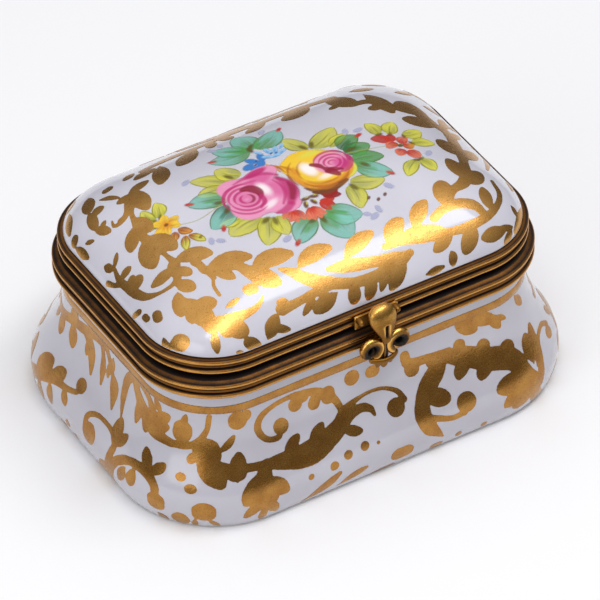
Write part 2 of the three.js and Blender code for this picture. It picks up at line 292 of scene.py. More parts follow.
class Wire:
    """A shader socket that can be used in an expression."""

    def __init__(self, graph: "Graph", socket: bpy.types.NodeSocket) -> None:
        """Keeps the socket and the graph that it is in.

        Args:
            graph: The graph that new nodes are added to.
            socket: An output socket.
        """
        self.graph = graph
        self.socket = socket

    def maths(self, operation: str, first: Any, second: Any) -> "Wire":
        """A Math node of two values.

        Args:
            operation: The node's operation.
            first: A number or a wire.
            second: A number or a wire.

        Returns:
            The node's result.
        """
        return self.graph.add("ShaderNodeMath", {"operation": operation}, {0: first, 1: second})

    def __add__(self, other: Any) -> "Wire":
        """Sum."""
        return self.maths("ADD", self, other)

    def __radd__(self, other: Any) -> "Wire":
        """Sum, with the wire last."""
        return self.maths("ADD", other, self)

    def __sub__(self, other: Any) -> "Wire":
        """Difference."""
        return self.maths("SUBTRACT", self, other)

    def __rsub__(self, other: Any) -> "Wire":
        """Difference, with the wire last."""
        return self.maths("SUBTRACT", other, self)

    def __mul__(self, other: Any) -> "Wire":
        """Product."""
        return self.maths("MULTIPLY", self, other)

    def __rmul__(self, other: Any) -> "Wire":
        """Product, with the wire last."""
        return self.maths("MULTIPLY", other, self)

    def above(self, edge: float, width: float) -> "Wire":
        """Mask that rises smoothly from 0 to 1 about an edge.

        Args:
            edge: The value in the middle of the rise.
            width: How wide the rise is.

        Returns:
            The mask.
        """
        span = {"From Min": edge - width / 2, "From Max": edge + width / 2, "Value": self}
        return self.graph.add("ShaderNodeMapRange", {"interpolation_type": "SMOOTHSTEP"}, span)


class Graph:
    """The node graph of one material, or of the world."""

    def __init__(self, owner: bpy.types.Material | bpy.types.World, coordinates: str = "Object") -> None:
        """Empties the owner's graph.

        Args:
            owner: The material or world.
            coordinates: The kind of coordinates that its place gives.
        """
        owner.use_nodes = True
        self.owner = owner
        self.tree = owner.node_tree
        self.tree.nodes.clear()
        self.place = self.add("ShaderNodeTexCoord", {}, {}, coordinates)

    def add(self, kind: str, settings: dict[str, Any], sockets: dict[Any, Any], output: Any = 0) -> Wire:
        """Adds a node.

        Args:
            kind: The node's type.
            settings: Properties that are set first. "stops" gives a ramp's places and colours.
            sockets: Values or wires for the inputs, by name or index.
            output: Name or index of the output that is wanted.

        Returns:
            That output as a wire.
        """
        node = self.tree.nodes.new(kind)
        for name, value in settings.items():
            if name == "stops":
                elements = node.color_ramp.elements
                while len(elements) < len(value):
                    elements.new(1.0)
                for element, (position, colour) in zip(elements, value):
                    element.position = position
                    element.color = (*colour, 1.0)
            else:
                setattr(node, name, value)
        for name, value in sockets.items():
            socket = node.inputs[name]
            if isinstance(value, Wire):
                self.tree.links.new(value.socket, socket)
            elif socket.type == "RGBA" and len(value) == 3:
                socket.default_value = (*value, 1.0)
            else:
                socket.default_value = value
        return Wire(self, node.outputs[output])

    def noise(self, size: float, detail: float = 2.0) -> Wire:
        """Noise texture.

        Args:
            size: Size of its features in millimetres.
            detail: How many finer layers it has.

        Returns:
            The noise, about 0.5 on average.
        """
        sockets = {"Vector": self.place, "Scale": 1.0 / (size * MM), "Detail": detail}
        return self.add("ShaderNodeTexNoise", {}, sockets, "Fac")

    def mix(self, mask: Any, first: Any, second: Any, blend: str = "MIX") -> Wire:
        """Mixes two colours.

        Args:
            mask: Share of the second colour.
            first: A colour or a wire.
            second: A colour or a wire.
            blend: The Mix node's blend type.

        Returns:
            The mixed colour.
        """
        settings = {"data_type": "RGBA", "blend_type": blend, "clamp_factor": True}
        return self.add("ShaderNodeMix", settings, {0: mask, 6: first, 7: second}, 2)

    def bump(self, height: Wire, depth: float) -> Wire:
        """Fine relief.

        Args:
            height: The relief's height, 0 to 1.
            depth: How deep it is, in millimetres.

        Returns:
            The normal for the shader.
        """
        return self.add("ShaderNodeBump", {}, {"Height": height, "Strength": 1.0, "Distance": depth * MM})

    def finish(self, sockets: dict[str, Any]) -> bpy.types.Material:
        """Adds the shader and the output.

        Args:
            sockets: Values or wires for the Principled shader's inputs.

        Returns:
            The finished material.
        """
        shader = self.add("ShaderNodeBsdfPrincipled", {}, sockets)
        self.add_output("ShaderNodeOutputMaterial", shader)
        return self.owner

    def add_output(self, kind: str, shader: Wire) -> None:
        """Ends the graph with its output.

        Args:
            kind: The output node's type.
            shader: The shader's wire.
        """
        node = self.tree.nodes.new(kind)
        self.tree.links.new(shader.socket, node.inputs["Surface"])


def linear(red: int, green: int, blue: int) -> Colour:
    """Linear colour of a tint given in the usual 0 to 255 steps.

    Args:
        red: Red.
        green: Green.
        blue: Blue.

    Returns:
        The linear colour.
    """
    parts = np.array([red, green, blue]) / 255.0
    return tuple(
        float(v)
        for v in np.where(parts <= 0.04045, parts / 12.92, ((parts + 0.055) / 1.055) ** 2.4)
    )


# ---- Finishes ----


@dataclass(frozen=True)
class Porcelain:
    """White glazed porcelain, with the bare paste showing under the foot."""

    glaze: Colour = linear(210, 209, 219)
    shade: Colour = linear(202, 200, 210)
    paste: Colour = linear(205, 200, 190)
    speck: Colour = linear(96, 84, 74)
    bare_below: float = 0.35

    def build(self, name: str) -> bpy.types.Material:
        """Makes the material.

        Args:
            name: The material's name.

        Returns:
            The material.
        """
        graph = Graph(bpy.data.materials.new(name))
        cloud = graph.noise(14.0, 3.0)
        glaze = graph.mix(cloud.above(0.5, 0.5), self.glaze, self.shade)
        cells = {"Vector": graph.place, "Scale": 1.0 / (3.2 * MM)}
        near = graph.add("ShaderNodeTexVoronoi", {}, cells, "Distance")
        pick = graph.add("ShaderNodeTexVoronoi", {}, cells, "Color")
        rare = graph.add("ShaderNodeSeparateColor", {}, {"Color": pick}, "Red").above(0.9, 0.02)
        speck = (1.0 - near.above(0.028, 0.02)) * rare * 0.7
        height = graph.add("ShaderNodeSeparateXYZ", {}, {"Vector": graph.place}, "Z")
        bare = 1.0 - (height + graph.noise(1.5) * (0.3 * MM)).above(self.bare_below * MM, 0.2 * MM)
        colour = graph.mix(bare, graph.mix(speck, glaze, self.speck), self.paste)
        waves = graph.noise(9.0, 2.0) + graph.noise(1.1, 1.0) * 0.05
        return graph.finish({
            "Base Color": colour,
            "Roughness": 0.11 + bare * 0.6 + graph.noise(5.0) * 0.06,
            "Specular IOR Level": 0.5,
            "Coat Weight": 0.5 - bare * 0.5,
            "Coat Roughness": 0.04,
            "Subsurface Weight": 0.12,
            "Subsurface Scale": 0.0012,
            "Subsurface Radius": (1.0, 0.9, 0.8),
            "Normal": graph.bump(waves, 0.10),
        })


@dataclass(frozen=True)
class Gold:
    """Brushed-on gilding: satin, a little uneven, thin in places."""

    full: Colour = linear(204, 153, 80)
    thin: Colour = linear(188, 136, 66)
    burnt: Colour = linear(104, 66, 28)

    def build(self, name: str) -> bpy.types.Material:
        """Makes the material.

        Args:
            name: The material's name.

        Returns:
            The material.
        """
        graph = Graph(bpy.data.materials.new(name))
        wash = graph.noise(2.6, 3.0)
        fine = graph.noise(0.28, 3.0)
        colour = graph.mix(wash.above(0.5, 0.5), self.full, self.thin)
        colour = graph.mix(fine.above(0.66, 0.12) * 0.6, colour, self.burnt)
        return graph.finish({
            "Base Color": colour,
            "Metallic": 0.96 - fine.above(0.7, 0.1) * 0.3,
            "Roughness": 0.2 + wash * 0.06 + fine * 0.08,
            "Coat Weight": 0.25,
            "Coat Roughness": 0.12,
            "Normal": graph.bump(fine + graph.noise(0.9, 2.0) * 1.5, 0.012),
        })


@dataclass(frozen=True)
class Brass:
    """Old brass, worn bright on its high places and dark brown with patina in its hollows; the bright colour
    also serves for painted highlights and the dark one for painted shade.
    """

    worn_and_highlight: Colour = linear(200, 146, 76)
    toned: Colour = linear(122, 80, 36)
    dirt_and_shade: Colour = linear(25, 13, 7)
    depth: float = 0.02
    gloss: float = 0.17
    dark_up_to: float = 0.33

    def build(self, name: str) -> bpy.types.Material:
        """Makes the material.

        Args:
            name: The material's name.

        Returns:
            The material.
        """
        graph = Graph(bpy.data.materials.new(name))
        polish = graph.add("ShaderNodeAttribute", {"attribute_name": "polish"}, {}, "Fac")
        cloud = graph.noise(2.2, 4.0)
        fine = graph.noise(0.22, 3.0)
        level = polish + (cloud - 0.5) * 0.35 + (fine - 0.5) * 0.3
        # Dark where the per-vertex value is low: patina in hollows, and painted shade in the gap between the
        # rims and in the clasp's hollows.
        grime_and_shade = 1.0 - level.above(self.dark_up_to, 0.42)
        bright = level.above(0.76, 0.4)
        colour = graph.mix(grime_and_shade, graph.mix(bright, self.toned, self.worn_and_highlight), self.dirt_and_shade)
        return graph.finish({
            "Base Color": colour,
            "Metallic": 1.0 - grime_and_shade * 0.55,
            "Roughness": 0.42 - bright * self.gloss + grime_and_shade * 0.25 + (fine - 0.5) * 0.15,
            "Normal": graph.bump(fine + cloud * 0.8, self.depth),
        })


@dataclass(frozen=True)
class EnamelPaint:
    """Flower painting fired onto the glaze; its colours are in the mesh, stroke by stroke."""

    def build(self, name: str) -> bpy.types.Material:
        """Makes the material.

        Args:
            name: The material's name.

        Returns:
            The material.
        """
        graph = Graph(bpy.data.materials.new(name))
        strokes = {"attribute_name": "strokes"}
        paint = graph.add("ShaderNodeAttribute", strokes, {}, "Color")
        cover = graph.add("ShaderNodeAttribute", strokes, {}, "Alpha")
        grain = graph.noise(0.25, 3.0)
        colour = graph.mix(grain.above(0.62, 0.2) * 0.16, paint, (1.0, 1.0, 1.0), "SOFT_LIGHT")
        return graph.finish({
            "Base Color": colour,
            "Alpha": cover,
            "Roughness": 0.26 + grain * 0.15,
            "Specular IOR Level": 0.25,
            "Coat Weight": 0.12,
            "Coat Roughness": 0.08,
            "Normal": graph.bump(grain, 0.008),
        })


@dataclass(frozen=True)
class Paper:
    """Pale studio paper under the box."""

    tint: Colour = linear(250, 250, 251)

    def build(self, name: str) -> bpy.types.Material:
        """Makes the material.

        Args:
            name: The material's name.

        Returns:
            The material.
        """
        graph = Graph(bpy.data.materials.new(name))
        tooth = graph.noise(1.5, 3.0)
        colour = graph.mix(tooth * 0.04, self.tint, (0.8, 0.8, 0.8))
        return graph.finish({"Base Color": colour, "Roughness": 0.85, "Normal": graph.bump(tooth, 0.01)})


class Finish(Enum):
    """The finishes, each with its material's name and its recipe."""

    # The base's glaze is a darker copy of the lid's: painted shade over the whole base.
    BASE_GLAZE_PAINTED_SHADE = ("base_white_glaze", Porcelain(glaze=linear(197, 195, 204), shade=linear(188, 185, 194)))
    LID_GLAZE = ("lid_white_glaze", Porcelain())
    # The base's gilding is a darker copy of the lid's: painted shade over the base's gold.
    BASE_GOLD_PAINTED_SHADE = ("base_brushed_gilding", Gold(full=linear(182, 132, 62), thin=linear(160, 110, 48)))
    LID_GOLD = ("lid_brushed_gilding", Gold())
    RIM_BRASS = ("rim_old_brass", Brass())
    HINGE_BRASS = ("hinge_old_brass", Brass(depth=0.03))
    # The clasp's copy of the brass has brighter high places and near-black hollows: painted highlights and
    # painted shade on top of wear and patina.
    CLASP_BRASS_PAINTED_CONTRAST = (
        "clasp_old_brass",
        Brass(
            worn_and_highlight=linear(224, 172, 88), toned=linear(136, 94, 40), dirt_and_shade=linear(12, 7, 4), depth=0.03,
            gloss=0.24,
        ),
    )
    ENAMEL = ("enamel_paint", EnamelPaint())
    PAPER = ("studio_paper", Paper())

    def material(self) -> bpy.types.Material:
        """The material, made when it is first asked for."""
        name, recipe = self.value
        return bpy.data.materials.get(name) or recipe.build(name)


class Body(Enum):
    """The two bodies that the hinge joins."""

    BASE = "base"
    LID = "lid"


def make_piece(
    name: str,
    form: Form,
    finish: Finish,
    body: Body,
    replaces: Sequence[str] = (),
) -> bpy.types.Object:
    """Turns a form into a piece of the box.

    Args:
        name: The piece's name.
        form: Its mesh in millimetres.
        finish: Its finish.
        body: The body that it moves with.
        replaces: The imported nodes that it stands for.

    Returns:
        The piece.
    """
    mesh = bpy.data.meshes.new(name)
    mesh.from_pydata((form.vertices * MM).tolist(), [], form.faces)
    mesh.update()
    mesh.shade_smooth()
    if form.normals is not None:
        mesh.normals_split_custom_set_from_vertices(form.normals.tolist())
    else:
        mesh.set_sharp_from_angle(angle=math.radians(form.sharp_above))
    if form.polish is not None:
        layer = mesh.attributes.new("polish", "FLOAT", "POINT")
        layer.data.foreach_set("value", form.polish.astype(np.float32))
    mesh.materials.append(finish.material())
    piece = bpy.data.objects.new(name, mesh)
    bpy.context.scene.collection.objects.link(piece)
    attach(piece, body.value)
    if replaces:
        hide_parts(*replaces)
    LOG.info("%s: %d faces on %s", name, len(form.faces), body.value)
    return piece


# ---- The box's outline and its two charts ----


@dataclass(frozen=True)
class Outline:
    """Rounded rectangle where the two rims meet; every wall is an offset of it."""

    half_length: float = 33.6
    half_depth: float = 24.0
    corner: float = 12.8
    corner_steps: int = 24
    long_steps: int = 30
    short_steps: int = 20

    def ring(self, offset: float, z: float, radius: float | None = None) -> np.ndarray:
        """Ring of points at an offset and a height, anticlockwise from above.

        Args:
            offset: Distance outside the outline.
            z: Height.
            radius: Corner radius, the one that keeps the walls parallel if none is given.

        Returns:
            The points.
        """
        radius = self.corner + offset if radius is None else radius
        x, y = self.half_length + offset - radius, self.half_depth + offset - radius
        signs = ((1, 1), (-1, 1), (-1, -1), (1, -1))
        points = []
        for quarter, (side_x, side_y) in enumerate(signs):
            turn = (np.arange(self.corner_steps + 1) / self.corner_steps + quarter) * math.pi / 2
            arc = np.stack([side_x * x + radius * np.cos(turn), side_y * y + radius * np.sin(turn)], axis=1)
            next_x, next_y = signs[(quarter + 1) % 4]
            turn_next = (quarter + 1) * math.pi / 2
            start = np.array([
                next_x * x + radius * math.cos(turn_next), next_y * y + radius * math.sin(turn_next),
            ])
            steps = self.long_steps if quarter % 2 == 0 else self.short_steps
            share = (np.arange(1, steps) / steps)[:, None]
            points += [arc, arc[-1] * (1 - share) + start * share]
        flat = np.vstack(points)
        return np.column_stack([flat, np.full(len(flat), z)])

    @property
    def girth(self) -> float:
        """Length of the outline."""
        flat = 4 * (self.half_length + self.half_depth - 2 * self.corner)
        return flat + 2 * math.pi * self.corner

    def walk(self, place: np.ndarray, offset: np.ndarray) -> tuple[np.ndarray, np.ndarray]:
        """Places beside the outline.

        Args:
            place: Distance along the outline from the middle of the front, towards +X.
            offset: Distance outside it.

        Returns:
            x and y of each place.
        """
        side_x, side_y = self.half_length - self.corner, self.half_depth - self.corner
        arc = math.pi * self.corner / 2
        along = np.mod(place + side_x, self.girth)
        x, y = np.zeros_like(along), np.zeros_like(along)
        start = 0.0
        corners = ((side_x, -side_y), (side_x, side_y), (-side_x, side_y), (-side_x, -side_y))
        for i, (centre_x, centre_y) in enumerate(corners):
            length = 2 * side_x if i % 2 == 0 else 2 * side_y
            heading, out = i * math.pi / 2, (i - 1) * math.pi / 2
            reach = self.corner + offset
            on = (along >= start) & (along < start + length)
            back = along[on] - start - length
            x[on] = centre_x + back * math.cos(heading) + reach[on] * math.cos(out)
            y[on] = centre_y + back * math.sin(heading) + reach[on] * math.sin(out)
            start += length
            on = (along >= start) & (along < start + arc)
            turn = out + (along[on] - start) / self.corner
            x[on] = centre_x + reach[on] * np.cos(turn)
            y[on] = centre_y + reach[on] * np.sin(turn)
            start += arc
        return x, y


class Chart:
    """A glazed surface laid out flat in millimetres, so that decoration can be drawn on it."""

    def place(self, u: np.ndarray, v: np.ndarray) -> np.ndarray:
        """Points of the surface.

        Args:
            u: First chart coordinate of each point.
            v: Second one.

        Returns:
            The points.
        """
        raise NotImplementedError

    def lifted(self, u: np.ndarray, v: np.ndarray, lift: np.ndarray) -> tuple[np.ndarray, np.ndarray]:
        """Points a little above the surface.

        Args:
            u: First chart coordinate of each point.
            v: Second one.
            lift: Height above the surface.

        Returns:
            The points, and the surface's outward directions there.
        """
        step = 0.05
        along_u = self.place(u + step, v) - self.place(u - step, v)
        along_v = self.place(u, v + step) - self.place(u, v - step)
        normals = unit(np.cross(along_u, along_v))
        return self.place(u, v) + normals * lift[:, None], normals


@dataclass
class BaseChart(Chart):
    """Outside of the base: u runs along the outline, v up the wall from the foot."""

    outline: Outline
    profile: np.ndarray
    arc: np.ndarray = field(init=False)

    def __post_init__(self) -> None:
        """Measures the profile."""
        self.arc = np.concatenate([[0.0], np.cumsum(np.hypot(*np.diff(self.profile, axis=0).T))])

    def place(self, u: np.ndarray, v: np.ndarray) -> np.ndarray:
        """Points of the wall at distances u along the outline and v up from the foot.

        Args:
            u: Distances along the outline.
            v: Distances up from the foot.

        Returns:
            The points.
        """
        offset = np.interp(v, self.arc, self.profile[:, 0])
        x, y = self.outline.walk(u, offset)
        return np.stack([x, y, np.interp(v, self.arc, self.profile[:, 1])], axis=1)


@dataclass
class LidChart(Chart):
    """Outside of the lid: its plan, flattened so that a step towards the edge is a true length."""

    outline: Outline
    profile: np.ndarray
    radius: Callable[[np.ndarray], np.ndarray]
    arc: np.ndarray = field(init=False)
    half_u: float = field(init=False)
    half_v: float = field(init=False)

    def __post_init__(self) -> None:
        """Measures the profile and the chart."""
        self.arc = np.concatenate([[0.0], np.cumsum(np.hypot(*np.diff(self.profile, axis=0).T))])
        self.half_v = float(self.arc[-1] + self.outline.half_depth + self.profile[-1, 0])
        self.half_u = self.half_v + self.outline.half_length - self.outline.half_depth

    def edge(self, u: np.ndarray, v: np.ndarray, inwards: Any = 0.0) -> np.ndarray:
        """Distance outside one of the lid's rings, as the chart shows it.

        Args:
            u: First chart coordinate.
            v: Second one.
            inwards: How far up the dome the ring lies.

        Returns:
            The distance, negative inside the ring.
        """
        radius = self.radius(np.interp(inwards, self.arc, self.profile[:, 0]))
        out_u = np.abs(u) - (self.half_u - inwards - radius)
        out_v = np.abs(v) - (self.half_v - inwards - radius)
        corner = np.hypot(np.maximum(out_u, 0), np.maximum(out_v, 0))
        return corner + np.minimum(np.maximum(out_u, out_v), 0) - radius

    def place(self, u: np.ndarray, v: np.ndarray) -> np.ndarray:
        """Points of the dome at chart places (u, v).

        Args:
            u: Chart places across.
            v: Chart places in depth.

        Returns:
            The points.
        """
        low, high = np.zeros_like(u), np.full_like(u, self.arc[-1])
        for _ in range(26):
            middle = (low + high) / 2
            inside = self.edge(u, v, middle) <= 0
            low, high = np.where(inside, middle, low), np.where(inside, high, middle)
        up = (low + high) / 2
        offset = np.interp(up, self.arc, self.profile[:, 0])
        radius = self.radius(offset)
        flat_u, flat_v = self.half_u - up - radius, self.half_v - up - radius
        real_x = self.outline.half_length + offset - radius
        real_y = self.outline.half_depth + offset - radius
        out_u, out_v = np.abs(u) - flat_u, np.abs(v) - flat_v
        corner = (out_u > 0) & (out_v > 0)
        end = out_u >= out_v
        x = np.where(corner, real_x + out_u, np.where(end, real_x + radius, np.abs(u) * real_x / flat_u))
        y = np.where(corner, real_y + out_v, np.where(end, np.abs(v) * real_y / flat_v, real_y + radius))
        top = up > self.arc[-1] - 1e-4
        x = np.where(top, np.abs(u), x)
        y = np.where(top, np.abs(v), y)
        z = np.interp(up, self.arc, self.profile[:, 1])
        return np.stack([x * np.sign(u), y * np.sign(v), z], axis=1)


# ---- Porcelain ----


@dataclass
class BasePorcelain:
    """Bombe base: foot ring, belly, straight neck and a smooth hollow."""

    outline: Outline
    parting: float
    wall: float = 2.5
    floor: float = 3.2
    cove: float = 3.5
    foot_out: float = 2.9
    foot_ring: float = 3.2
    foot_recess: float = 0.8
    bulge_out: float = 4.3
    bulge_z: float = 4.5
    neck_in: float = 1.1
    neck_drop: float = 5.8
    top_drop: float = 1.05

    @property
    def neck_z(self) -> float:
        """Height where the straight neck starts."""
        return self.parting - self.neck_drop

    def outside(self) -> np.ndarray:
        """Outer profile from the foot up to the neck, as (offset, z).

        Returns:
            The profile.
        """
        rise = self.neck_z - self.bulge_z
        foot = bezier([(self.foot_out, 0), (self.foot_out + 0.8, 0.9),
                       (self.bulge_out, self.bulge_z / 2), (self.bulge_out, self.bulge_z)], 14)
        belly = bezier([(self.bulge_out, self.bulge_z), (self.bulge_out, self.bulge_z + 0.28 * rise),
                        (-self.neck_in, self.bulge_z + 0.47 * rise), (-self.neck_in, self.neck_z)], 44)
        neck = [(-self.neck_in, self.neck_z + 1.6), (-self.neck_in, self.parting - self.top_drop - 1.5)]
        return np.vstack([foot, belly[1:], neck])

    def form(self) -> Form:
        """Mesh of the whole base.

        Returns:
            The mesh.
        """
        rise = self.neck_z - self.bulge_z
        inner_top, inner_low = -self.neck_in - self.wall, self.bulge_out - self.wall
        inside = bezier([(inner_top, self.neck_z), (inner_top, self.bulge_z + 0.47 * rise),
                         (inner_low, self.bulge_z + 0.4 * rise), (inner_low, self.floor + self.cove)], 30)
        turn = np.linspace(0, math.pi / 2, 12)[1:]
        cove = np.column_stack([
            inner_low - self.cove * (1 - np.cos(turn)), self.floor + self.cove * (1 - np.sin(turn)),
        ])
        top = self.parting - self.top_drop
        ring = self.foot_out - self.foot_ring
        profile = np.vstack([
            [
                (-self.outline.half_depth + 8.0, self.foot_recess),
                (ring - self.foot_recess - 1.0, self.foot_recess),
            ],
            [(ring - self.foot_recess, self.foot_recess), (ring, 0.0), (self.foot_out - 0.4, 0.0)],
            self.outside(), [(-self.neck_in, top), (inner_top, top)], inside, cove,
            [(inner_low - self.cove - 3.0, self.floor), (-self.outline.half_depth + 8.0, self.floor)],
        ])
        rings = [self.ring(offset, z) for offset, z in profile]
        return Form(np.vstack(rings), skin(rings), sharp_above=50)

    def ring(self, offset: float, z: float) -> np.ndarray:
        """One ring of the base; far inside, its corners keep a small radius."""
        return self.outline.ring(offset, z, max(self.outline.corner + offset, 1.5))

    def chart(self) -> BaseChart:
        """Chart of the outside wall."""
        return BaseChart(self.outline, self.outside())

    def build(self) -> None:
        """Makes the piece."""
        make_piece("base_bowl", self.form(), Finish.BASE_GLAZE_PAINTED_SHADE, Body.BASE, ["base_porcelain"])


@dataclass
class LidPorcelain:
    """Low domed lid with a step at its edge for the rim."""

    outline: Outline
    parting: float
    crown: float
    wall: float = 2.3
    step: float = 1.5
    rebate: float = 0.8
    edge_rise: float = 3.45
    seat_rise: float = 1.05
    crown_half: float = 1.0

    def dome(self, wall: float, steps: int) -> np.ndarray:
        """Profile of the dome, moved inwards and down by a wall.

        Args:
            wall: How far inside the outer surface the profile lies.
            steps: Spans of the curve.

        Returns:
            Points (offset, z) from the edge to the crown.
        """
        low = self.parting + self.edge_rise
        rise = self.crown - low
        return bezier([
            (-self.step - wall, low - 0.3 * wall),
            (-self.step - 0.3 - wall, low + 0.28 * rise - 0.3 * wall),
            (-self.step - 6.7 - 0.6 * wall, self.crown - wall),
            (self.crown_half - self.outline.half_depth, self.crown - wall),
        ], steps)

    def radius(self, offset: Any) -> Any:
        """Corner radius of a ring of the dome; it shrinks towards the crown."""
        full = self.outline.corner - self.step
        return full * (self.outline.half_depth + offset) / (self.outline.half_depth - self.step)

    def form(self) -> Form:
        """Mesh of the whole lid.

        Returns:
            The mesh.
        """
        inner = self.wall + self.rebate
        rebate = -self.step - self.rebate
        seat = self.parting + self.seat_rise
        profile = np.vstack([
            self.dome(inner, 40)[::-1],
            [(rebate - self.wall, seat), (rebate, seat), (rebate, self.parting + self.edge_rise)],
            self.dome(0.0, 72),
        ])
        rings = [self.outline.ring(offset, z, self.radius(offset)) for offset, z in profile]
        return Form(np.vstack(rings), skin(rings), sharp_above=50)

    def chart(self) -> LidChart:
        """Chart of the dome's outside."""
        return LidChart(self.outline, self.dome(0.0, 160), self.radius)

    def build(self) -> None:
        """Makes the piece."""
        make_piece("lid_dome", self.form(), Finish.LID_GLAZE, Body.LID, ["lid_porcelain"])


# ---- Brass rims ----


@dataclass
class Rims:
    """The two moulded brass rims, each with two beads and a cove between them."""

    outline: Outline
    parting: float
    gap: float = 0.25
    flange: float = 0.6
    bead: float = 0.38
    base_height: float = 3.1
    lid_height: float = 3.0
    lid_face: float = -0.95
    seat_inner: float = 3.8
    lid_seat_inner: float = 4.8

    def half_round(self, face: float, z: float, radius: float) -> np.ndarray:
        """Profile of a bead, from its lower edge up.

        Args:
            face: Offset of the face that it stands on.
            z: Height of its middle.
            radius: Its radius.

        Returns:
            Points (offset, z, polish).
        """
        turn = np.linspace(-math.pi / 2, math.pi / 2, 11)
        crest = 0.12 + 0.88 * np.cos(turn) ** 1.5
        return np.column_stack([face + radius * np.cos(turn), z + radius * np.sin(turn), crest])

    def hoop(self, section: np.ndarray) -> Form:
        """Rim of a section (offset, z, polish) that goes round anticlockwise from outside.

        Args:
            section: The section's points.

        Returns:
            The rim.
        """
        rings = [self.outline.ring(offset, z) for offset, z, _ in section]
        polish = np.repeat(section[:, 2], len(rings[0]))
        return Form(np.vstack(rings), skin(rings, hoop=True), polish, sharp_above=55)

    def base_rim(self) -> Form:
        """Rim of the base: flat lower edge, two beads, bevel up to the seat.

        Returns:
            The rim.
        """
        top = self.parting - self.gap
        low = top - self.base_height
        lower, upper = low + self.bead + 0.1, top - 0.85
        section = np.vstack([
            [(-0.9, low, 0.2), (-0.12, low, 0.3), (-0.05, low + 0.06, 0.55)],
            self.half_round(0.0, lower, self.bead),
            [
                (-0.3, lower + 0.44, 0.05), (-0.3, lower + 0.56, 0.2), (-0.02, lower + 0.66, 0.6),
                (0.03, lower + 0.88, 0.5), (-0.02, lower + 1.1, 0.45), (-0.3, lower + 1.2, 0.15),
                (-0.3, upper - 0.44, 0.05),
            ],
            self.half_round(0.0, upper, self.bead),
            [
                # The bevel's inner half, beside the gap under the lid's rim, is set nearly black: painted
                # shade in the gap.
                (-0.25, upper + 0.46, 0.3), (-0.55, top - 0.2, 0.42), (-0.8, top - 0.12, 0.12),
                (-1.3, top, 0.02),
            ],
            [
                (-self.seat_inner, top, 0.45), (-self.seat_inner, top - self.flange, 0.4),
                (-0.9, top - self.flange, 0.2),
            ],
        ])
        return self.hoop(section)

    def lid_rim(self) -> Form:
        """Rim of the lid: seat, two beads with a cove, flat upper edge.

        Returns:
            The rim.
        """
        seat = self.parting + self.gap
        top = seat + self.lid_height
        lower, upper = seat + 0.9, top - self.bead - 0.05
        face = self.lid_face
        section = np.vstack([
            [
                # The underside by the seat is set dark: painted shade in the gap over the base's rim.
                (-self.lid_seat_inner, seat, 0.45), (-1.5, seat, 0.1), (-1.42, seat + 0.1, 0.1),
                (-1.3, seat + 0.45, 0.1),
            ],
            self.half_round(face, lower, self.bead),
            [
                (-1.3, lower + 0.45, 0.05), (-1.25, lower + 0.56, 0.25), (-1.02, lower + 0.68, 0.5),
                (-1.0, lower + 0.86, 0.42), (-1.05, lower + 1.04, 0.35), (-1.3, lower + 1.16, 0.08),
                (-1.32, upper - 0.44, 0.05),
            ],
            self.half_round(face, upper, self.bead),
            [
                (-1.3, top - 0.04, 0.62), (-2.1, top, 0.3), (-2.1, seat + self.flange, 0.2),
                (-self.lid_seat_inner, seat + self.flange, 0.4),
            ],
        ])
        return self.hoop(section)

    def build(self) -> None:
        """Makes both pieces."""
        make_piece(
            "base_rim_moulding", self.base_rim(), Finish.RIM_BRASS, Body.BASE, ["base_rim"],
        )
        make_piece("lid_rim_moulding", self.lid_rim(), Finish.RIM_BRASS, Body.LID, ["lid_rim"])


# ---- Hinge ----


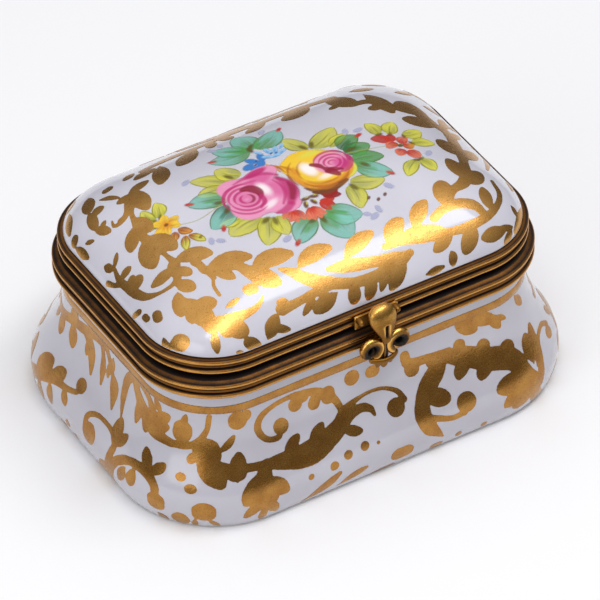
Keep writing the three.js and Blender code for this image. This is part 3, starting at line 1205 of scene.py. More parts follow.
@dataclass
class Hinge:
    """Five knuckles, each with the leaf that is soldered to its rim, and the pin through them."""

    axis_y: float
    axis_z: float
    tube: float = 1.15
    bore: float = 0.57
    pin: float = 0.5
    pin_head: float = 0.85
    length: float = 4.4
    gap: float = 0.3
    count: int = 5
    leaf: float = 0.6
    edge: float = 0.12

    def start(self, i: int) -> float:
        """x of the left end of a knuckle, counted from 0."""
        span = self.count * self.length + (self.count - 1) * self.gap
        return -span / 2 + i * (self.length + self.gap)

    def lathe(self, profile: Sequence[Point], sides: int = 40) -> Form:
        """Round piece about the hinge's axis.

        Args:
            profile: Points (x, radius) that close on themselves as a hoop.
            sides: Facets round it.

        Returns:
            The round piece.
        """
        turn = np.linspace(0, 2 * math.pi, sides, endpoint=False)
        rings = [
            np.column_stack([
                np.full(sides, x), self.axis_y + r * np.cos(turn), self.axis_z + r * np.sin(turn),
            ])
            for x, r in profile
        ]
        return Form(np.vstack(rings), skin(rings, hoop=True), sharp_above=35)

    def leaf_plate(self, x0: float, x1: float, lid: bool) -> Form:
        """Leaf of a knuckle: a flat strip on the rim that curves out into the tube.

        Args:
            x0: Its left end.
            x1: Its right end.
            lid: Whether it is soldered to the lid's rim.

        Returns:
            The leaf.
        """
        away = 1.0 if lid else -1.0
        low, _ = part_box("lid_knuckle_2" if lid else "base_knuckle_1")
        face = low.y / MM
        tall = 3.25 if lid else 3.35
        foot = self.axis_y - self.bore - 0.12
        reach = 0.8 * self.tube
        skin_y = face + self.leaf
        fillet = min(0.5, max(foot - skin_y - 0.02, 0.0))
        outline = np.array([
            (face, tall), (face, 0.25), (foot, 0.25), (foot, reach), (skin_y + fillet, reach + 0.02),
            (skin_y + 0.24 * fillet, reach + 0.25), (skin_y, reach + 0.7), (skin_y, tall - 0.15),
            (skin_y - 0.15, tall),
        ])
        middle = outline.mean(axis=0)
        rings = []
        for x, shrink in ((x0, 0.04), (x0 + self.edge, 0.0), (x1 - self.edge, 0.0), (x1, 0.04)):
            points = outline + (middle - outline) * shrink
            rings.append(
                np.column_stack([np.full(len(points), x), points[:, 0], self.axis_z + away * points[:, 1]])
            )
        faces = skin(rings)
        return Form(np.vstack(rings), faces if lid else [face[::-1] for face in faces], sharp_above=35)

    def knuckle(self, i: int) -> Form:
        """One knuckle with its leaf.

        Args:
            i: The knuckle, counted from 0 at the left.

        Returns:
            Its form.
        """
        x0 = self.start(i)
        x1 = x0 + self.length
        e = self.edge
        profile = [
            (x0, self.bore), (x0, self.tube - e), (x0 + e * 0.4, self.tube - e * 0.3), (x0 + e, self.tube),
            (x1 - e, self.tube), (x1 - e * 0.4, self.tube - e * 0.3), (x1, self.tube - e), (x1, self.bore),
        ]
        tube = self.lathe(profile)
        return tube.joined(self.leaf_plate(x0 + 0.02, x1 - 0.02, lid=i % 2 == 1))

    def pin_form(self) -> Form:
        """The pin with its domed ends.

        Returns:
            The pin.
        """
        end = -self.start(0) + self.gap
        turn = np.linspace(0, math.pi / 2, 8)
        dome = [(end + 0.6 * self.pin_head * 2 * math.sin(a), self.pin_head * math.cos(a)) for a in turn]
        half = [(end, self.pin)] + dome
        profile = [(-x, r) for x, r in half[::-1]] + half
        form = self.lathe([(x, max(r, 0.01)) for x, r in profile])
        form.faces = skin(np.split(form.vertices, len(profile)))
        return form

    def build(self) -> None:
        """Makes the knuckles and the pin."""
        for i in range(self.count):
            lid = i % 2 == 1
            side = Body.LID if lid else Body.BASE
            form = self.knuckle(i)
            form.polish = 0.45 + 0.35 * (
                np.hypot(
                    form.vertices[:, 1] - self.axis_y, form.vertices[:, 2] - self.axis_z,
                ) > self.tube - 0.05
            )
            node = f"{side.value}_knuckle_{i + 1}"
            make_piece(
                f"{side.value}_hinge_tube_{i + 1}", form, Finish.HINGE_BRASS, side, [node],
            )
        pin = self.pin_form()
        pin.polish = np.full(len(pin.vertices), 0.75)
        make_piece("hinge_pin_domed", pin, Finish.HINGE_BRASS, Body.BASE, ["hinge_pin"])


# ---- Clasp ----


@dataclass
class Clasp:
    """Lily-shaped clasp: plate, tongue, drop petal, two curled petals, binding band and tail."""

    petal_y: float = -26.1
    band_z: float = 21.5
    drop_top: float = 31.1
    drop_tip: float = 24.95
    drop_half: float = 2.35
    drop_depth: float = 1.25
    volute_outer: float = 1.95
    volute_inner: float = 0.4
    ribbon: float = 0.74
    volute_in: float = 0.62
    volute_rise: float = 2.5
    neck_top: float = 25.8
    neck_low: float = 21.3
    band_half: float = 2.45
    rivet_seat: float = -23.9

    @property
    def volute_x(self) -> float:
        """Middle of the right-hand curl."""
        return self.volute_in + self.volute_outer * 0.95

    @property
    def volute_z(self) -> float:
        """Height of the curls' middles."""
        return self.band_z + self.volute_rise

    def box_form(self, node: str, round_by: float) -> Form:
        """Softly rounded block that fills a node's box.

        Args:
            node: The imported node.
            round_by: Radius of its edges.

        Returns:
            The block.
        """
        low, high = (np.array(corner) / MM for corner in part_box(node))
        middle, half = (low + high) / 2, (high - low) / 2
        steps = np.linspace(-1, 1, 15)
        vertices, faces, index = [], [], {}

        def corner(point: tuple[float, ...]) -> int:
            """Index of a point on the block, rounded off near the edges.

            Args:
                point: The point, from -1 to 1 along each axis.

            Returns:
                The index.
            """
            key = tuple(round(c, 4) for c in point)
            if key not in index:
                p = np.array(key) * half
                core = np.clip(p, -(half - round_by), half - round_by)
                away = p - core
                length = np.linalg.norm(away)
                p = core + away * (round_by / length) if length > round_by else p
                index[key] = len(vertices)
                vertices.append(middle + p)
            return index[key]

        for axis in range(3):
            a, b = (axis + 1) % 3, (axis + 2) % 3
            for side in (-1.0, 1.0):
                for s0, s1 in zip(steps, steps[1:]):
                    for t0, t1 in zip(steps, steps[1:]):
                        loop = []
                        for s, t in ((s0, t0), (s1, t0), (s1, t1), (s0, t1)):
                            point = [0.0, 0.0, 0.0]
                            point[axis], point[a], point[b] = side, s, t
                            loop.append(corner(tuple(point)))
                        faces.append(tuple(loop if side > 0 else loop[::-1]))
        return Form(np.array(vertices), faces)

    def drop(self) -> Form:
        """Bulging drop petal, its tip forward, with a narrow sunk slot.

        Returns:
            The petal, with its polish.
        """
        count, sides = 60, 56
        t = np.linspace(0, 1, count)
        z = self.drop_top + (self.drop_tip - self.drop_top) * t
        lean = -24.9 - 1.9 * np.sin(t * 1.35) - 0.35 * t
        spine = np.column_stack([np.zeros(count), lean, z])
        swell = np.sin(math.pi * np.clip(t, 0, 1) ** 0.62) ** 0.8
        taper = 1 - 0.35 * t
        lip = ease(t, 0.75, 0.95) * (1 - ease(t, 0.97, 1.0))
        wide = np.maximum(self.drop_half * swell * taper * 1.12, 0.03) + 0.28 * lip
        thick = np.maximum(self.drop_depth * swell * taper * 1.12, 0.03) + 0.22 * lip
        form = sweep(spine, wide, thick, (1, 0, 0), sides)
        x, zz = form.vertices[:, 0], form.vertices[:, 2]
        front = form.vertices[:, 1] < np.repeat(lean, sides)
        share = (self.drop_top - zz) / (self.drop_top - self.drop_tip)
        groove = np.exp(-((x / 0.24) ** 2)) * ease(share, 0.42, 0.5) * (1 - ease(share, 0.74, 0.86))
        form.vertices[:, 1] += np.where(front, 0.62 * groove, 0.0)
        form.polish = show_relief(form, 4.0)
        # Brighter at the top and darker towards the tip: a painted highlight on the petal's top.
        form.polish = np.clip((form.polish + 0.2 - 0.45 * share) * (1 - 0.95 * groove * front), 0, 1)
        return form

    def volute(self) -> Form:
        """Right-hand curled petal: a flat ribbon wound into a hollow spiral.

        Returns:
            The petal.
        """
        count = 110
        t = np.linspace(0, 1, count)
        radius = self.volute_outer * (1 - t) + self.volute_inner * t
        turn = np.radians(-75 + 520 * t)
        x = self.volute_x - radius * np.cos(turn)
        z = self.volute_z + radius * np.sin(turn)
        y = self.petal_y + 0.1 - 0.35 * np.sin(math.pi * t) + 0.9 * ease(t, 0.55, 1.0)
        ends = round_ends(count, 0.06, 0.04)
        wide = (0.85 - 0.45 * t) * ends
        thick = (self.ribbon * (0.85 + 0.35 * np.sin(math.pi * np.clip(t * 1.5, 0, 1))) - 0.42 * t) * ends
        return sweep(np.column_stack([x, y, z]), wide, np.maximum(thick, 0.04), (0, 1, 0), 24)

    def volute_shade_body(self) -> Form:
        """Dark body that fills the curled petal's hollow with painted shade.

        Returns:
            The dark body.
        """
        count = 14
        t = np.linspace(0, 1, count)
        behind = self.petal_y + 0.25 + 0.5 * t
        spine = np.column_stack([np.full(count, self.volute_x), behind, np.full(count, self.volute_z)])
        size = 1.45 * round_ends(count, 0.3, 0.3)
        return sweep(spine, size, size, (1, 0, 0), 28)

    def neck(self) -> Form:
        """Fluted stem between the drop's tip and the band.

        Returns:
            The stem, with its polish.
        """
        count, sides = 36, 48
        t = np.linspace(0, 1, count)
        z = self.neck_top + (self.neck_low - self.neck_top) * t
        spine = np.column_stack([np.zeros(count), -26.05 - 0.25 * np.sin(math.pi * t), z])
        form = sweep(spine, 0.95 - 0.35 * t, 0.55 - 0.1 * t, (1, 0, 0), sides)
        turn = np.tile(np.linspace(0, 2 * math.pi, sides, endpoint=False), count)
        flute = 1 + 0.14 * np.cos(7 * turn)
        centre = np.repeat(spine, sides, axis=0)
        form.vertices = centre + (form.vertices - centre) * flute[:, None]
        form.polish = np.clip(0.22 + 2.2 * (flute - 1), 0, 1)
        return form

    def band(self) -> Form:
        """Band that binds the petals, bowed forward and sagging.

        Returns:
            The band.
        """
        count = 60
        t = np.linspace(-1, 1, count)
        bow = self.petal_y + 0.35 - 1.15 * (1 - t**2) ** 0.8
        spine = np.column_stack([self.band_half * t, bow, self.band_z + 0.22 * t**2])
        ends = round_ends(count, 0.07, 0.07)
        return sweep(spine, 0.46 * ends, 0.36 * ends, (0, 0, 1), 24)

    def tail(self) -> Form:
        """Three small lobes that hang below the band.

        Returns:
            The lobes.
        """
        whole = None
        for x, length, size, lean in (
            (0.0, 1.7, 0.62, 0.0), (-0.85, 1.25, 0.45, -0.4), (0.85, 1.25, 0.45, 0.4),
        ):
            count = 26
            t = np.linspace(0, 1, count)
            spine = np.column_stack([
                x + lean * t, self.petal_y - 0.15 + 0.2 * t, self.band_z - 0.35 - length * t,
            ])
            swell = np.maximum(np.sin(math.pi * (0.12 + 0.88 * t)), 0.03) ** 0.8
            lobe = sweep(spine, size * swell, size * 0.75 * swell, (1, 0, 0), 20)
            whole = lobe if whole is None else whole.joined(lobe)
        return whole

    def tongue(self) -> Form:
        """Springy strip that carries the petals, bent over the base's rim.

        Returns:
            The strip.
        """
        path = smooth_line(
            [(-24.55, 28.9), (-24.6, 27.9), (-25.05, 27.1), (-25.15, 26.2), (-25.15, 23.0), (-25.15, 20.1)],
            9,
        )
        count = len(path)
        spine = np.column_stack([np.zeros(count), path[:, 0], path[:, 1]])
        ends = round_ends(count, 0.03, 0.05)
        return sweep(spine, 0.85 * ends, 0.24 * ends, (1, 0, 0), 20)

    def domed_bar(
        self, node: str, count: int, dome: float, sides: int, back: float | None = None, turn: int = 1
    ) -> Form:
        """Short bar with a domed front, as high as a node's box.

        Args:
            node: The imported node.
            count: Rings along it.
            dome: Share of its length that is domed.
            sides: Facets round it.
            back: y of its back end, the box's own if none is given.
            turn: 1, or -1 to count the facets from the other side.

        Returns:
            The bar.
        """
        low, high = (np.array(corner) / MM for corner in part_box(node))
        middle = (low + high) / 2
        start = high[1] if back is None else back
        y = start + (low[1] - start) * np.linspace(0, 1, count)
        spine = np.column_stack([np.full(count, middle[0]), y, np.full(count, middle[2])])
        size = (high[2] - low[2]) / 2 * round_ends(count, 0.02, dome)
        return sweep(spine, size, size, (turn, 0, 0), sides)

    def build(self) -> None:
        """Makes every piece of the clasp."""
        def add(
            name: str, form: Form, nodes: Sequence[str], body: Body = Body.LID, share: float = 3.0,
        ) -> None:
            """Dresses one form and makes it a piece.

            Args:
                name: The piece's name.
                form: Its mesh.
                nodes: The nodes that it replaces.
                body: The body that it rides on.
                share: How strongly its relief shows in the polish.
            """
            if form.polish is None:
                form.polish = np.clip(show_relief(form, share) - 0.2, 0, 1)
            form.sharp_above = 60
            make_piece(name, form, Finish.CLASP_BRASS_PAINTED_CONTRAST, body, nodes)

        plate = self.box_form("clasp_plate", 0.2)
        plate.polish = np.clip(show_relief(plate, 3.0) + 0.05, 0, 1)
        add("clasp_back_plate", plate, ["clasp_plate"])
        add("clasp_spring_tongue", self.tongue(), ["clasp_tongue"])
        add("clasp_drop_petal", self.drop(), ["clasp_drop"])
        add("clasp_fluted_neck", self.neck(), [])
        right = self.volute()
        # The curl's outer turn is set brighter and its inner turns darker: painted shade in the curl's
        # hollow, with wear on its outer edge.
        across, up = right.vertices[:, 0] - self.volute_x, right.vertices[:, 2] - self.volute_z
        outside = np.hypot(across, up) / self.volute_outer
        right.polish = np.clip(show_relief(right, 2.4) * 0.5 + ease(outside, 0.55, 1.2) - 0.2, 0, 1)
        shade_body = self.volute_shade_body()
        # The body in the curl's hollow is set near black: painted shade.
        shade_body.polish = np.full(len(shade_body.vertices), 0.02)
        left = self.volute().mirrored()
        left.polish = right.polish
        add("clasp_curl_right", right, ["clasp_scroll_right"])
        add("clasp_curl_left", left, ["clasp_scroll_left"])
        left_shade_body = shade_body.mirrored()
        add("clasp_curl_shade_right", shade_body, [])
        add("clasp_curl_shade_left", left_shade_body, [])
        add("clasp_binding_band", self.band(), ["clasp_band"])
        add("clasp_tail_lobes", self.tail(), ["clasp_tail"])
        for side, turn in (("left", -1), ("right", 1)):
            rivet = self.domed_bar(f"clasp_rivet_{side}", 18, 0.55, 22, self.rivet_seat, turn)
            add(f"clasp_rivet_head_{side}", rivet, [f"clasp_rivet_{side}"])
        add("catch_stud_domed", self.domed_bar("catch_stud", 16, 0.6, 20), ["catch_stud"], Body.BASE)


# ---- Gilding ----


@dataclass(frozen=True)
class Touch:
    """One touch of the gilder's brush: a line with a half-width at each of its points."""

    line: np.ndarray
    half: np.ndarray


def leaf(
    x0: float, y0: float, x1: float, y1: float, width: float, bend: float = 0.0, blunt: float = 0.62,
) -> Touch:
    """Leaf-shaped touch from its stalk to its tip.

    Args:
        x0: Stalk, first coordinate.
        y0: Stalk, second coordinate.
        x1: Tip, first coordinate.
        y1: Tip, second coordinate.
        width: Widest breadth.
        bend: How far its middle bows to the left, seen from the stalk.
        blunt: Where it is widest, as a share of its length.

    Returns:
        The touch.
    """
    start, tip = np.array([x0, y0]), np.array([x1, y1])
    t = np.linspace(0, 1, 12)
    reach = tip - start
    length = max(float(np.hypot(*reach)), 1e-6)
    across = np.array([-reach[1], reach[0]]) / length
    end = min(width * 0.3, length * 0.3)
    along = (t * (length - end) / length)[:, None]
    line = start + reach * along + across * (bend * 4 * along * (1 - along))
    swell = np.where(
        t < blunt, np.sin(t / blunt * math.pi / 2) ** 1.15, np.cos((t - blunt) / (1 - blunt) * math.pi / 2.9),
    )
    return Touch(line, np.maximum(width / 2 * swell, 0.12))


def vine(points: Sequence[Point], widths: Sequence[float]) -> Touch:
    """Stem through points, with its breadth given at each of them."""
    both = smooth_line([(*p, w) for p, w in zip(points, widths)], 7)
    return Touch(both[:, :2], np.maximum(both[:, 2] / 2, 0.1))


def ball(x: float, y: float, radius: float, other: float | None = None, turn: float = 0.0) -> Touch:
    """Dot or oval; turn is the angle of its long axis in degrees.

    Args:
        x: Middle, first coordinate.
        y: Middle, second coordinate.
        radius: Half its first axis.
        other: Half its second axis, the same if none is given.
        turn: Angle of its long axis in degrees.

    Returns:
        The touch.
    """
    other = radius if other is None else other
    long, short = max(radius, other), min(radius, other)
    angle = math.radians(turn + (90 if other > radius else 0))
    reach = np.array([math.cos(angle), math.sin(angle)]) * (long - short)
    return Touch(np.array([[x, y] - reach, [x, y] + reach + 1e-4]), np.array([short, short]))


@dataclass
class Gilding:
    """Coat of gold brushed on a glazed surface, standing a hair above it, with soft edges."""

    chart: Chart
    low: Point
    high: Point
    cell: float = 0.14
    lift: float = 0.045
    sink: float = 0.03
    bevel: float = 0.16
    fillet: float = 0.16
    wobble: float = 0.07
    grow: float = 0.0
    seed: int = 5
    far: float = 9.0
    reach: float = 0.8
    inner_step: float = 0.8
    inner_margin: float = 0.22

    def grid(self) -> tuple[np.ndarray, np.ndarray]:
        """Chart coordinates of the grid's lines.

        Returns:
            The lines' places across and up.
        """
        u = np.arange(self.low[0], self.high[0] + self.cell, self.cell)
        v = np.arange(self.low[1], self.high[1] + self.cell, self.cell)
        return u, v

    def field(
        self, touches: Iterable[Touch], limit: Callable[[np.ndarray, np.ndarray], np.ndarray],
    ) -> np.ndarray:
        """Distance outside the gold on the grid; negative inside it.

        Args:
            touches: The brush's touches.
            limit: Distance outside the area that may be gilded.

        Returns:
            The distances, a row for each v.
        """
        u, v = self.grid()
        result = np.full((len(v), len(u)), self.far)
        for touch in touches:
            reach = float(touch.half.max()) + self.reach
            i0, i1 = np.searchsorted(u, [touch.line[:, 0].min() - reach, touch.line[:, 0].max() + reach])
            j0, j1 = np.searchsorted(v, [touch.line[:, 1].min() - reach, touch.line[:, 1].max() + reach])
            if i1 <= i0 or j1 <= j0:
                continue
            near = np.full((j1 - j0, i1 - i0), self.far)
            x, y = np.meshgrid(u[i0:i1], v[j0:j1])
            for a, b, ra, rb in zip(touch.line, touch.line[1:], touch.half, touch.half[1:]):
                span = b - a
                share = np.clip(
                    ((x - a[0]) * span[0] + (y - a[1]) * span[1]) / max(float(span @ span), 1e-9), 0, 1,
                )
                away = np.hypot(x - a[0] - share * span[0], y - a[1] - share * span[1])
                near = np.minimum(near, away - (ra + (rb - ra) * share))
            old = result[j0:j1, i0:i1]
            blend = np.clip(0.5 + 0.5 * (old - near) / self.fillet, 0, 1)
            result[j0:j1, i0:i1] = old + (near - old) * blend - self.fillet * blend * (1 - blend)
        x, y = np.meshgrid(u, v)
        shake = soft_noise(x, y, 0.9, self.seed) + 0.6 * soft_noise(x, y, 0.4, self.seed + 1) - 0.8
        return np.maximum(result - self.grow + self.wobble * shake, limit(x, y))

    def contour(
        self, values: np.ndarray, level: float, points: list[Point], edges: list[tuple[int, int]],
    ) -> None:
        """Adds the line where the field has a level.

        Args:
            values: The field on the grid.
            level: The level.
            points: Chart points, added to.
            edges: Pairs of points that the line joins, added to.
        """
        u, v = self.grid()
        inside = values < level
        known: dict[tuple[int, int, int], int] = {}

        def crossing(j: int, i: int, upright: int) -> int:
            """Index of the line's crossing of one grid edge.

            Args:
                j: The edge's row.
                i: The edge's column.
                upright: 1 for an edge that runs up, 0 for one across.

            Returns:
                The index.
            """
            key = (j, i, upright)
            if key not in known:
                j2, i2 = (j + 1, i) if upright else (j, i + 1)
                share = (level - values[j, i]) / (values[j2, i2] - values[j, i])
                share = min(max(float(share), 0.02), 0.98)
                known[key] = len(points)
                points.append((float(u[i] + (u[i2] - u[i]) * share), float(v[j] + (v[j2] - v[j]) * share)))
            return known[key]

        corner = inside[:-1, :-1].astype(int) + 2 * inside[:-1, 1:] + 4 * inside[1:, 1:] + 8 * inside[1:, :-1]
        sides = {
            1: ("ld",), 2: ("dr",), 3: ("lr",), 4: ("ru",), 5: ("ld", "ru"), 6: ("du",), 7: ("lu",),
            8: ("lu",), 9: ("du",), 10: ("dr", "lu"), 11: ("ru",), 12: ("lr",), 13: ("dr",), 14: ("ld",),
        }
        edge_of = {"d": (0, 0, 0), "u": (1, 0, 0), "l": (0, 0, 1), "r": (0, 1, 1)}
        for j, i in zip(*np.nonzero((corner > 0) & (corner < 15))):
            for pair in sides[int(corner[j, i])]:
                ends = [crossing(int(j) + edge_of[s][0], int(i) + edge_of[s][1], edge_of[s][2]) for s in pair]
                edges.append((ends[0], ends[1]))

    def sample(self, values: np.ndarray, x: np.ndarray, y: np.ndarray) -> np.ndarray:
        """The field at chart places between the grid's points.

        Args:
            values: The field on the grid.
            x: Places across.
            y: Places up.

        Returns:
            The field there.
        """
        fu, fv = (x - self.low[0]) / self.cell, (y - self.low[1]) / self.cell
        i = np.clip(np.floor(fu).astype(int), 0, values.shape[1] - 2)
        j = np.clip(np.floor(fv).astype(int), 0, values.shape[0] - 2)
        fu, fv = fu - i, fv - j
        low = values[j, i] * (1 - fu) + values[j, i + 1] * fu
        high = values[j + 1, i] * (1 - fu) + values[j + 1, i + 1] * fu
        return low * (1 - fv) + high * fv

    def form(self, values: np.ndarray) -> Form:
        """Mesh of the gold.

        Args:
            values: The field on the grid.

        Returns:
            The coat, with the surface's own directions as normals.
        """
        points: list[Point] = []
        edges: list[tuple[int, int]] = []
        self.contour(values, 0.0, points, edges)
        self.contour(values, -self.bevel, points, edges)
        step = self.inner_step
        across, up = (np.arange(low, high, step) for low, high in zip(self.low, self.high))
        x, y = np.meshgrid(across, up)
        x[1::2] += step / 2
        x, y = x.ravel(), y.ravel()
        deep = self.sample(values, x, y) < -self.bevel - self.inner_margin
        points += list(zip(x[deep].tolist(), y[deep].tolist()))
        flat, _, triangles, *_ = geometry.delaunay_2d_cdt(
            [Vector(p) for p in points], edges, [], 0, 1e-5, False,
        )
        plan = np.array([tuple(p) for p in flat])
        corners = np.array(triangles)
        middle = plan[corners].mean(axis=1)
        corners = corners[self.sample(values, middle[:, 0], middle[:, 1]) < 0]
        used, faces = np.unique(corners, return_inverse=True)
        faces = faces.reshape(corners.shape)
        plan = plan[used]
        depth = -self.sample(values, plan[:, 0], plan[:, 1])
        rise = np.clip(depth / self.bevel, 0, 1)
        points3, normals = self.chart.lifted(
            plan[:, 0], plan[:, 1], rise * (self.lift + self.sink) - self.sink,
        )
        ab, ac = points3[faces[:, 1]] - points3[faces[:, 0]], points3[faces[:, 2]] - points3[faces[:, 0]]
        wrong = np.sum(np.cross(ab, ac) * normals[faces[:, 0]], axis=1) < 0
        faces[wrong] = faces[wrong][:, ::-1]
        return Form(points3, [tuple(f) for f in faces.tolist()], normals=normals)


@dataclass
class BaseGilding:
    """Acanthus scrolls round the base, under a gold line at the neck."""

    outline: Outline
    chart: BaseChart
    foot: float = 0.5
    top: float = 22.6
    line_place: float = 21.15
    line_width: float = 1.6
    line_lift: float = 0.05
    line_sink: float = 0.03
    line_rings: int = 720
    corner_end: float = -33.5

    def front(self) -> list[Touch]:
        """Scrolls of the front, from the left corner to the right one.

        Returns:
            The touches.
        """
        acanthus = [
            vine(
                [(-22, 11.0), (-18.2, 10.2), (-13.6, 9.7), (-9.4, 10.9), (-6.6, 12.4), (-4.4, 13.4)],
                [0.6, 2.6, 3.9, 3.2, 2.4, 1.4],
            ),
            leaf(-17.6, 10.8, -14.2, 13.2, 1.9), leaf(-13.2, 10.6, -9.9, 13.5, 2.0),
            leaf(-7.4, 11.6, -3.9, 9.8, 1.8, -0.3),
            vine(
                [(-8.5, 11.8), (-6.2, 13.9), (-2.5, 15), (0.6, 14.9), (3, 13.6), (3.9, 11.9)],
                [1.4, 1.2, 0.6, 0.6, 0.8, 1],
            ),
            vine([(-6.8, 12.4), (-3.6, 13.2), (-2, 12.6), (-1.5, 11.4)], [1.4, 1.5, 1.1, 0.5]),
            ball(2.2, 11.2, 1.5),
        ]
        scroll = [
            vine(
                [
                    (-17, 15.4), (-17.6, 13.9), (-19.6, 14.3), (-20.7, 16.3), (-19.8, 18.2), (-17, 19.3),
                    (-13.6, 19.5), (-10.2, 18.6), (-7.9, 17), (-6.8, 14.9), (-6.6, 13.4),
                ],
                [1, 0.9, 1, 1.2, 1.1, 0.9, 1, 1.4, 1.3, 1.1, 1],
            ),
            ball(-16.9, 15.4, 1.3), ball(-13.9, 17.9, 1.2), ball(-12.4, 18.6, 0.9),
            ball(-10.7, 17, 1.25, 1, 60), ball(-8.3, 17.3, 1.2, 1.5), ball(-3.9, 18.5, 1.3),
            ball(-0.3, 18.2, 1.25, 1), ball(-23.8, 18.9, 1.6), ball(-22.4, 19.4, 1.0),
        ]
        beside_clasp = [
            ball(6.3, 16.0, 1.3),
            vine([(5.4, 18.6), (6.0, 17), (9.5, 16.6), (13, 16.4)], [1.6, 1.7, 1.4, 1.2]),
            vine(
                [
                    (13, 15.8), (11.4, 15.3), (9.4, 14), (7.7, 12.4), (6.7, 10.4), (6.2, 8.4), (6.8, 6.2),
                    (7.9, 4.8), (9.2, 3.3),
                ],
                [1.6, 2.0, 2.1, 2.2, 2.5, 2.8, 2.5, 1.6, 0.4],
            ),
            leaf(7.2, 10.6, 11.5, 8.8, 3.0, 0.4), leaf(8.4, 10.6, 9.3, 12, 0.9),
            leaf(9.6, 13.6, 10.1, 11.8, 1.6, -0.3),
            vine([(6.8, 7.6), (8.7, 6.9), (11, 6.1), (13.2, 6.2)], [1.2, 1.0, 0.9, 1.1]),
            ball(13.8, 7.7, 1.7),
        ]
        right = [
            vine(
                [
                    (9.4, 15.7), (12, 15.7), (14.6, 14.9), (16.6, 14), (19, 12.8), (21.2, 12.1), (23, 10.9),
                    (24.1, 8.5), (25.1, 5.6), (25.5, 2.6), (27.2, 0.2),
                ],
                [1.2, 1.8, 3.2, 3.4, 3.7, 3.7, 3.2, 2.1, 1.8, 2.0, 2.2],
            ),
            ball(14.9, 16.6, 1.05), ball(18.9, 15, 1.15), ball(22.7, 13.2, 1.25),
            leaf(12.6, 15.2, 10.2, 12, 1.8, -0.7), leaf(16.6, 13.6, 13.4, 11.1, 2.4, -0.8),
            leaf(20.4, 12, 16.9, 9.7, 2.5, -0.8), leaf(25.8, 8.4, 26.5, 13.5, 2.4),
            leaf(25, 7.4, 18.9, 7.2, 3.4, -0.3), leaf(23.6, 6.4, 22.4, 2.0, 3.2),
            leaf(23.4, 6.4, 20.2, 3.7, 2.6), ball(24.4, 6.2, 1.6), leaf(26.2, 7.6, 28.5, 14, 1.9),
            vine(
                [(26, 4.5), (27.2, 8.2), (28.6, 10.8), (30.8, 11.4), (32.2, 10.2)], [1.6, 1.1, 0.8, 0.8, 0.9],
            ),
            ball(31.4, 9.3, 0.95), leaf(14.4, 20.6, 18.5, 17.8, 2.6), leaf(16.6, 20.6, 22, 18.4, 2.5),
            leaf(20.4, 19.8, 22.6, 16.6, 1.9), leaf(21.8, 19, 23.9, 17.6, 1.0),
            leaf(26.6, 20.2, 28.6, 17.4, 1.6),
        ]
        foot = [
            leaf(-15.6, 1.2, -8.8, 4.8, 1.9, -0.3), leaf(-9.4, 1.6, -4, 3.5, 1.5, 0.2), ball(2, 3.3, 2, 1.25),
            ball(8.3, 1.4, 1.2, 0.7), ball(12.2, 2.1, 0.6), ball(16.8, 1.8, 0.6), leaf(-4, 0.4, 1, 1.2, 0.9),
            leaf(29, 0.6, 32, 3.4, 2), ball(-14.1, 6, 0.5), ball(-10, 6.2, 0.75), ball(-7.4, 7.1, 0.75),
            ball(-4.4, 7.4, 0.75), ball(-2.1, 7.1, 0.3), ball(33.4, 5, 1.2, 1.6), ball(36, 2.2, 1.6, 1.1),
        ]
        return acanthus + scroll + beside_clasp + right + foot

    def corner(self) -> list[Touch]:
        """Scrolls of the front-left corner.

        Returns:
            The touches.
        """
        cluster = [
            leaf(-30.8, 14.2, -26.8, 15, 3.2), leaf(-27.4, 13.9, -24.5, 16.6, 1.2, -0.3),
            leaf(-29.8, 14.4, -26.6, 8.2, 3.4), leaf(-30.4, 13.8, -31.2, 12, 1.4), ball(-28.6, 13.6, 1.9),
            leaf(-24.9, 9.2, -24.2, 13.9, 2.3), ball(-24.9, 10.4, 1.3, 1.1),
            vine([(-28, 12), (-25, 11.2), (-21, 10.8)], [2, 1.5, 1.2]),
            vine(
                [(-28.4, 20), (-28.8, 17.6), (-30.2, 15.6), (-32.3, 14.6), (-37.4, 14.6), (-38.8, 15.6)],
                [0.8, 0.9, 1, 1.1, 1.2, 1],
            ),
            ball(-32.7, 16.9, 1.6, 1.8), leaf(-32.8, 17, -32.2, 20, 1.2),
        ]
        palmette = [
            vine([(-20.6, 10.8), (-21.6, 8.4), (-21.8, 5.4)], [1.4, 2.6, 4.0]),
            leaf(-22, 10, -24.3, 4.8, 2.4), leaf(-22.0, 9.6, -21.4, 2.6, 3.0),
            leaf(-21.6, 8.6, -18.0, 5.0, 2.8), leaf(-21.8, 6, -24.4, 2.3, 1.7), leaf(-21.4, 5, -20, 1.6, 1.6),
            leaf(-22, 4, -22.2, 0.6, 1.2), ball(-32, 9.8, 0.7), ball(-30.6, 8.2, 0.75),
            ball(-29, 4.3, 1.4, 1.8), leaf(-28.6, 3, -27.2, 0.6, 0.8), leaf(-31.8, 0.4, -31.8, 3.8, 2.2),
            leaf(-30, 2.8, -30.2, 0.2, 0.8), leaf(-33.6, 0.2, -34.6, 2.2, 1.2),
        ]
        stalk = [
            ball(-34.8, 4.5, 1.15, 1.6),
            vine(
                [
                    (-34.9, 5.6), (-35.2, 7.2), (-36.8, 8.6), (-39.4, 8.6), (-42, 6.6), (-43.6, 3.6),
                    (-44.4, 0.4),
                ],
                [1, 1.2, 1.6, 1.3, 1.6, 2, 2.2],
            ),
            leaf(-36.4, 8.8, -37.9, 12.3, 1.7), leaf(-35.9, 8.7, -34.3, 11.2, 1.6),
            leaf(-38.4, 8.2, -38.8, 4.6, 1.6), leaf(-39.8, 7.4, -41, 3.8, 1.5),
        ]
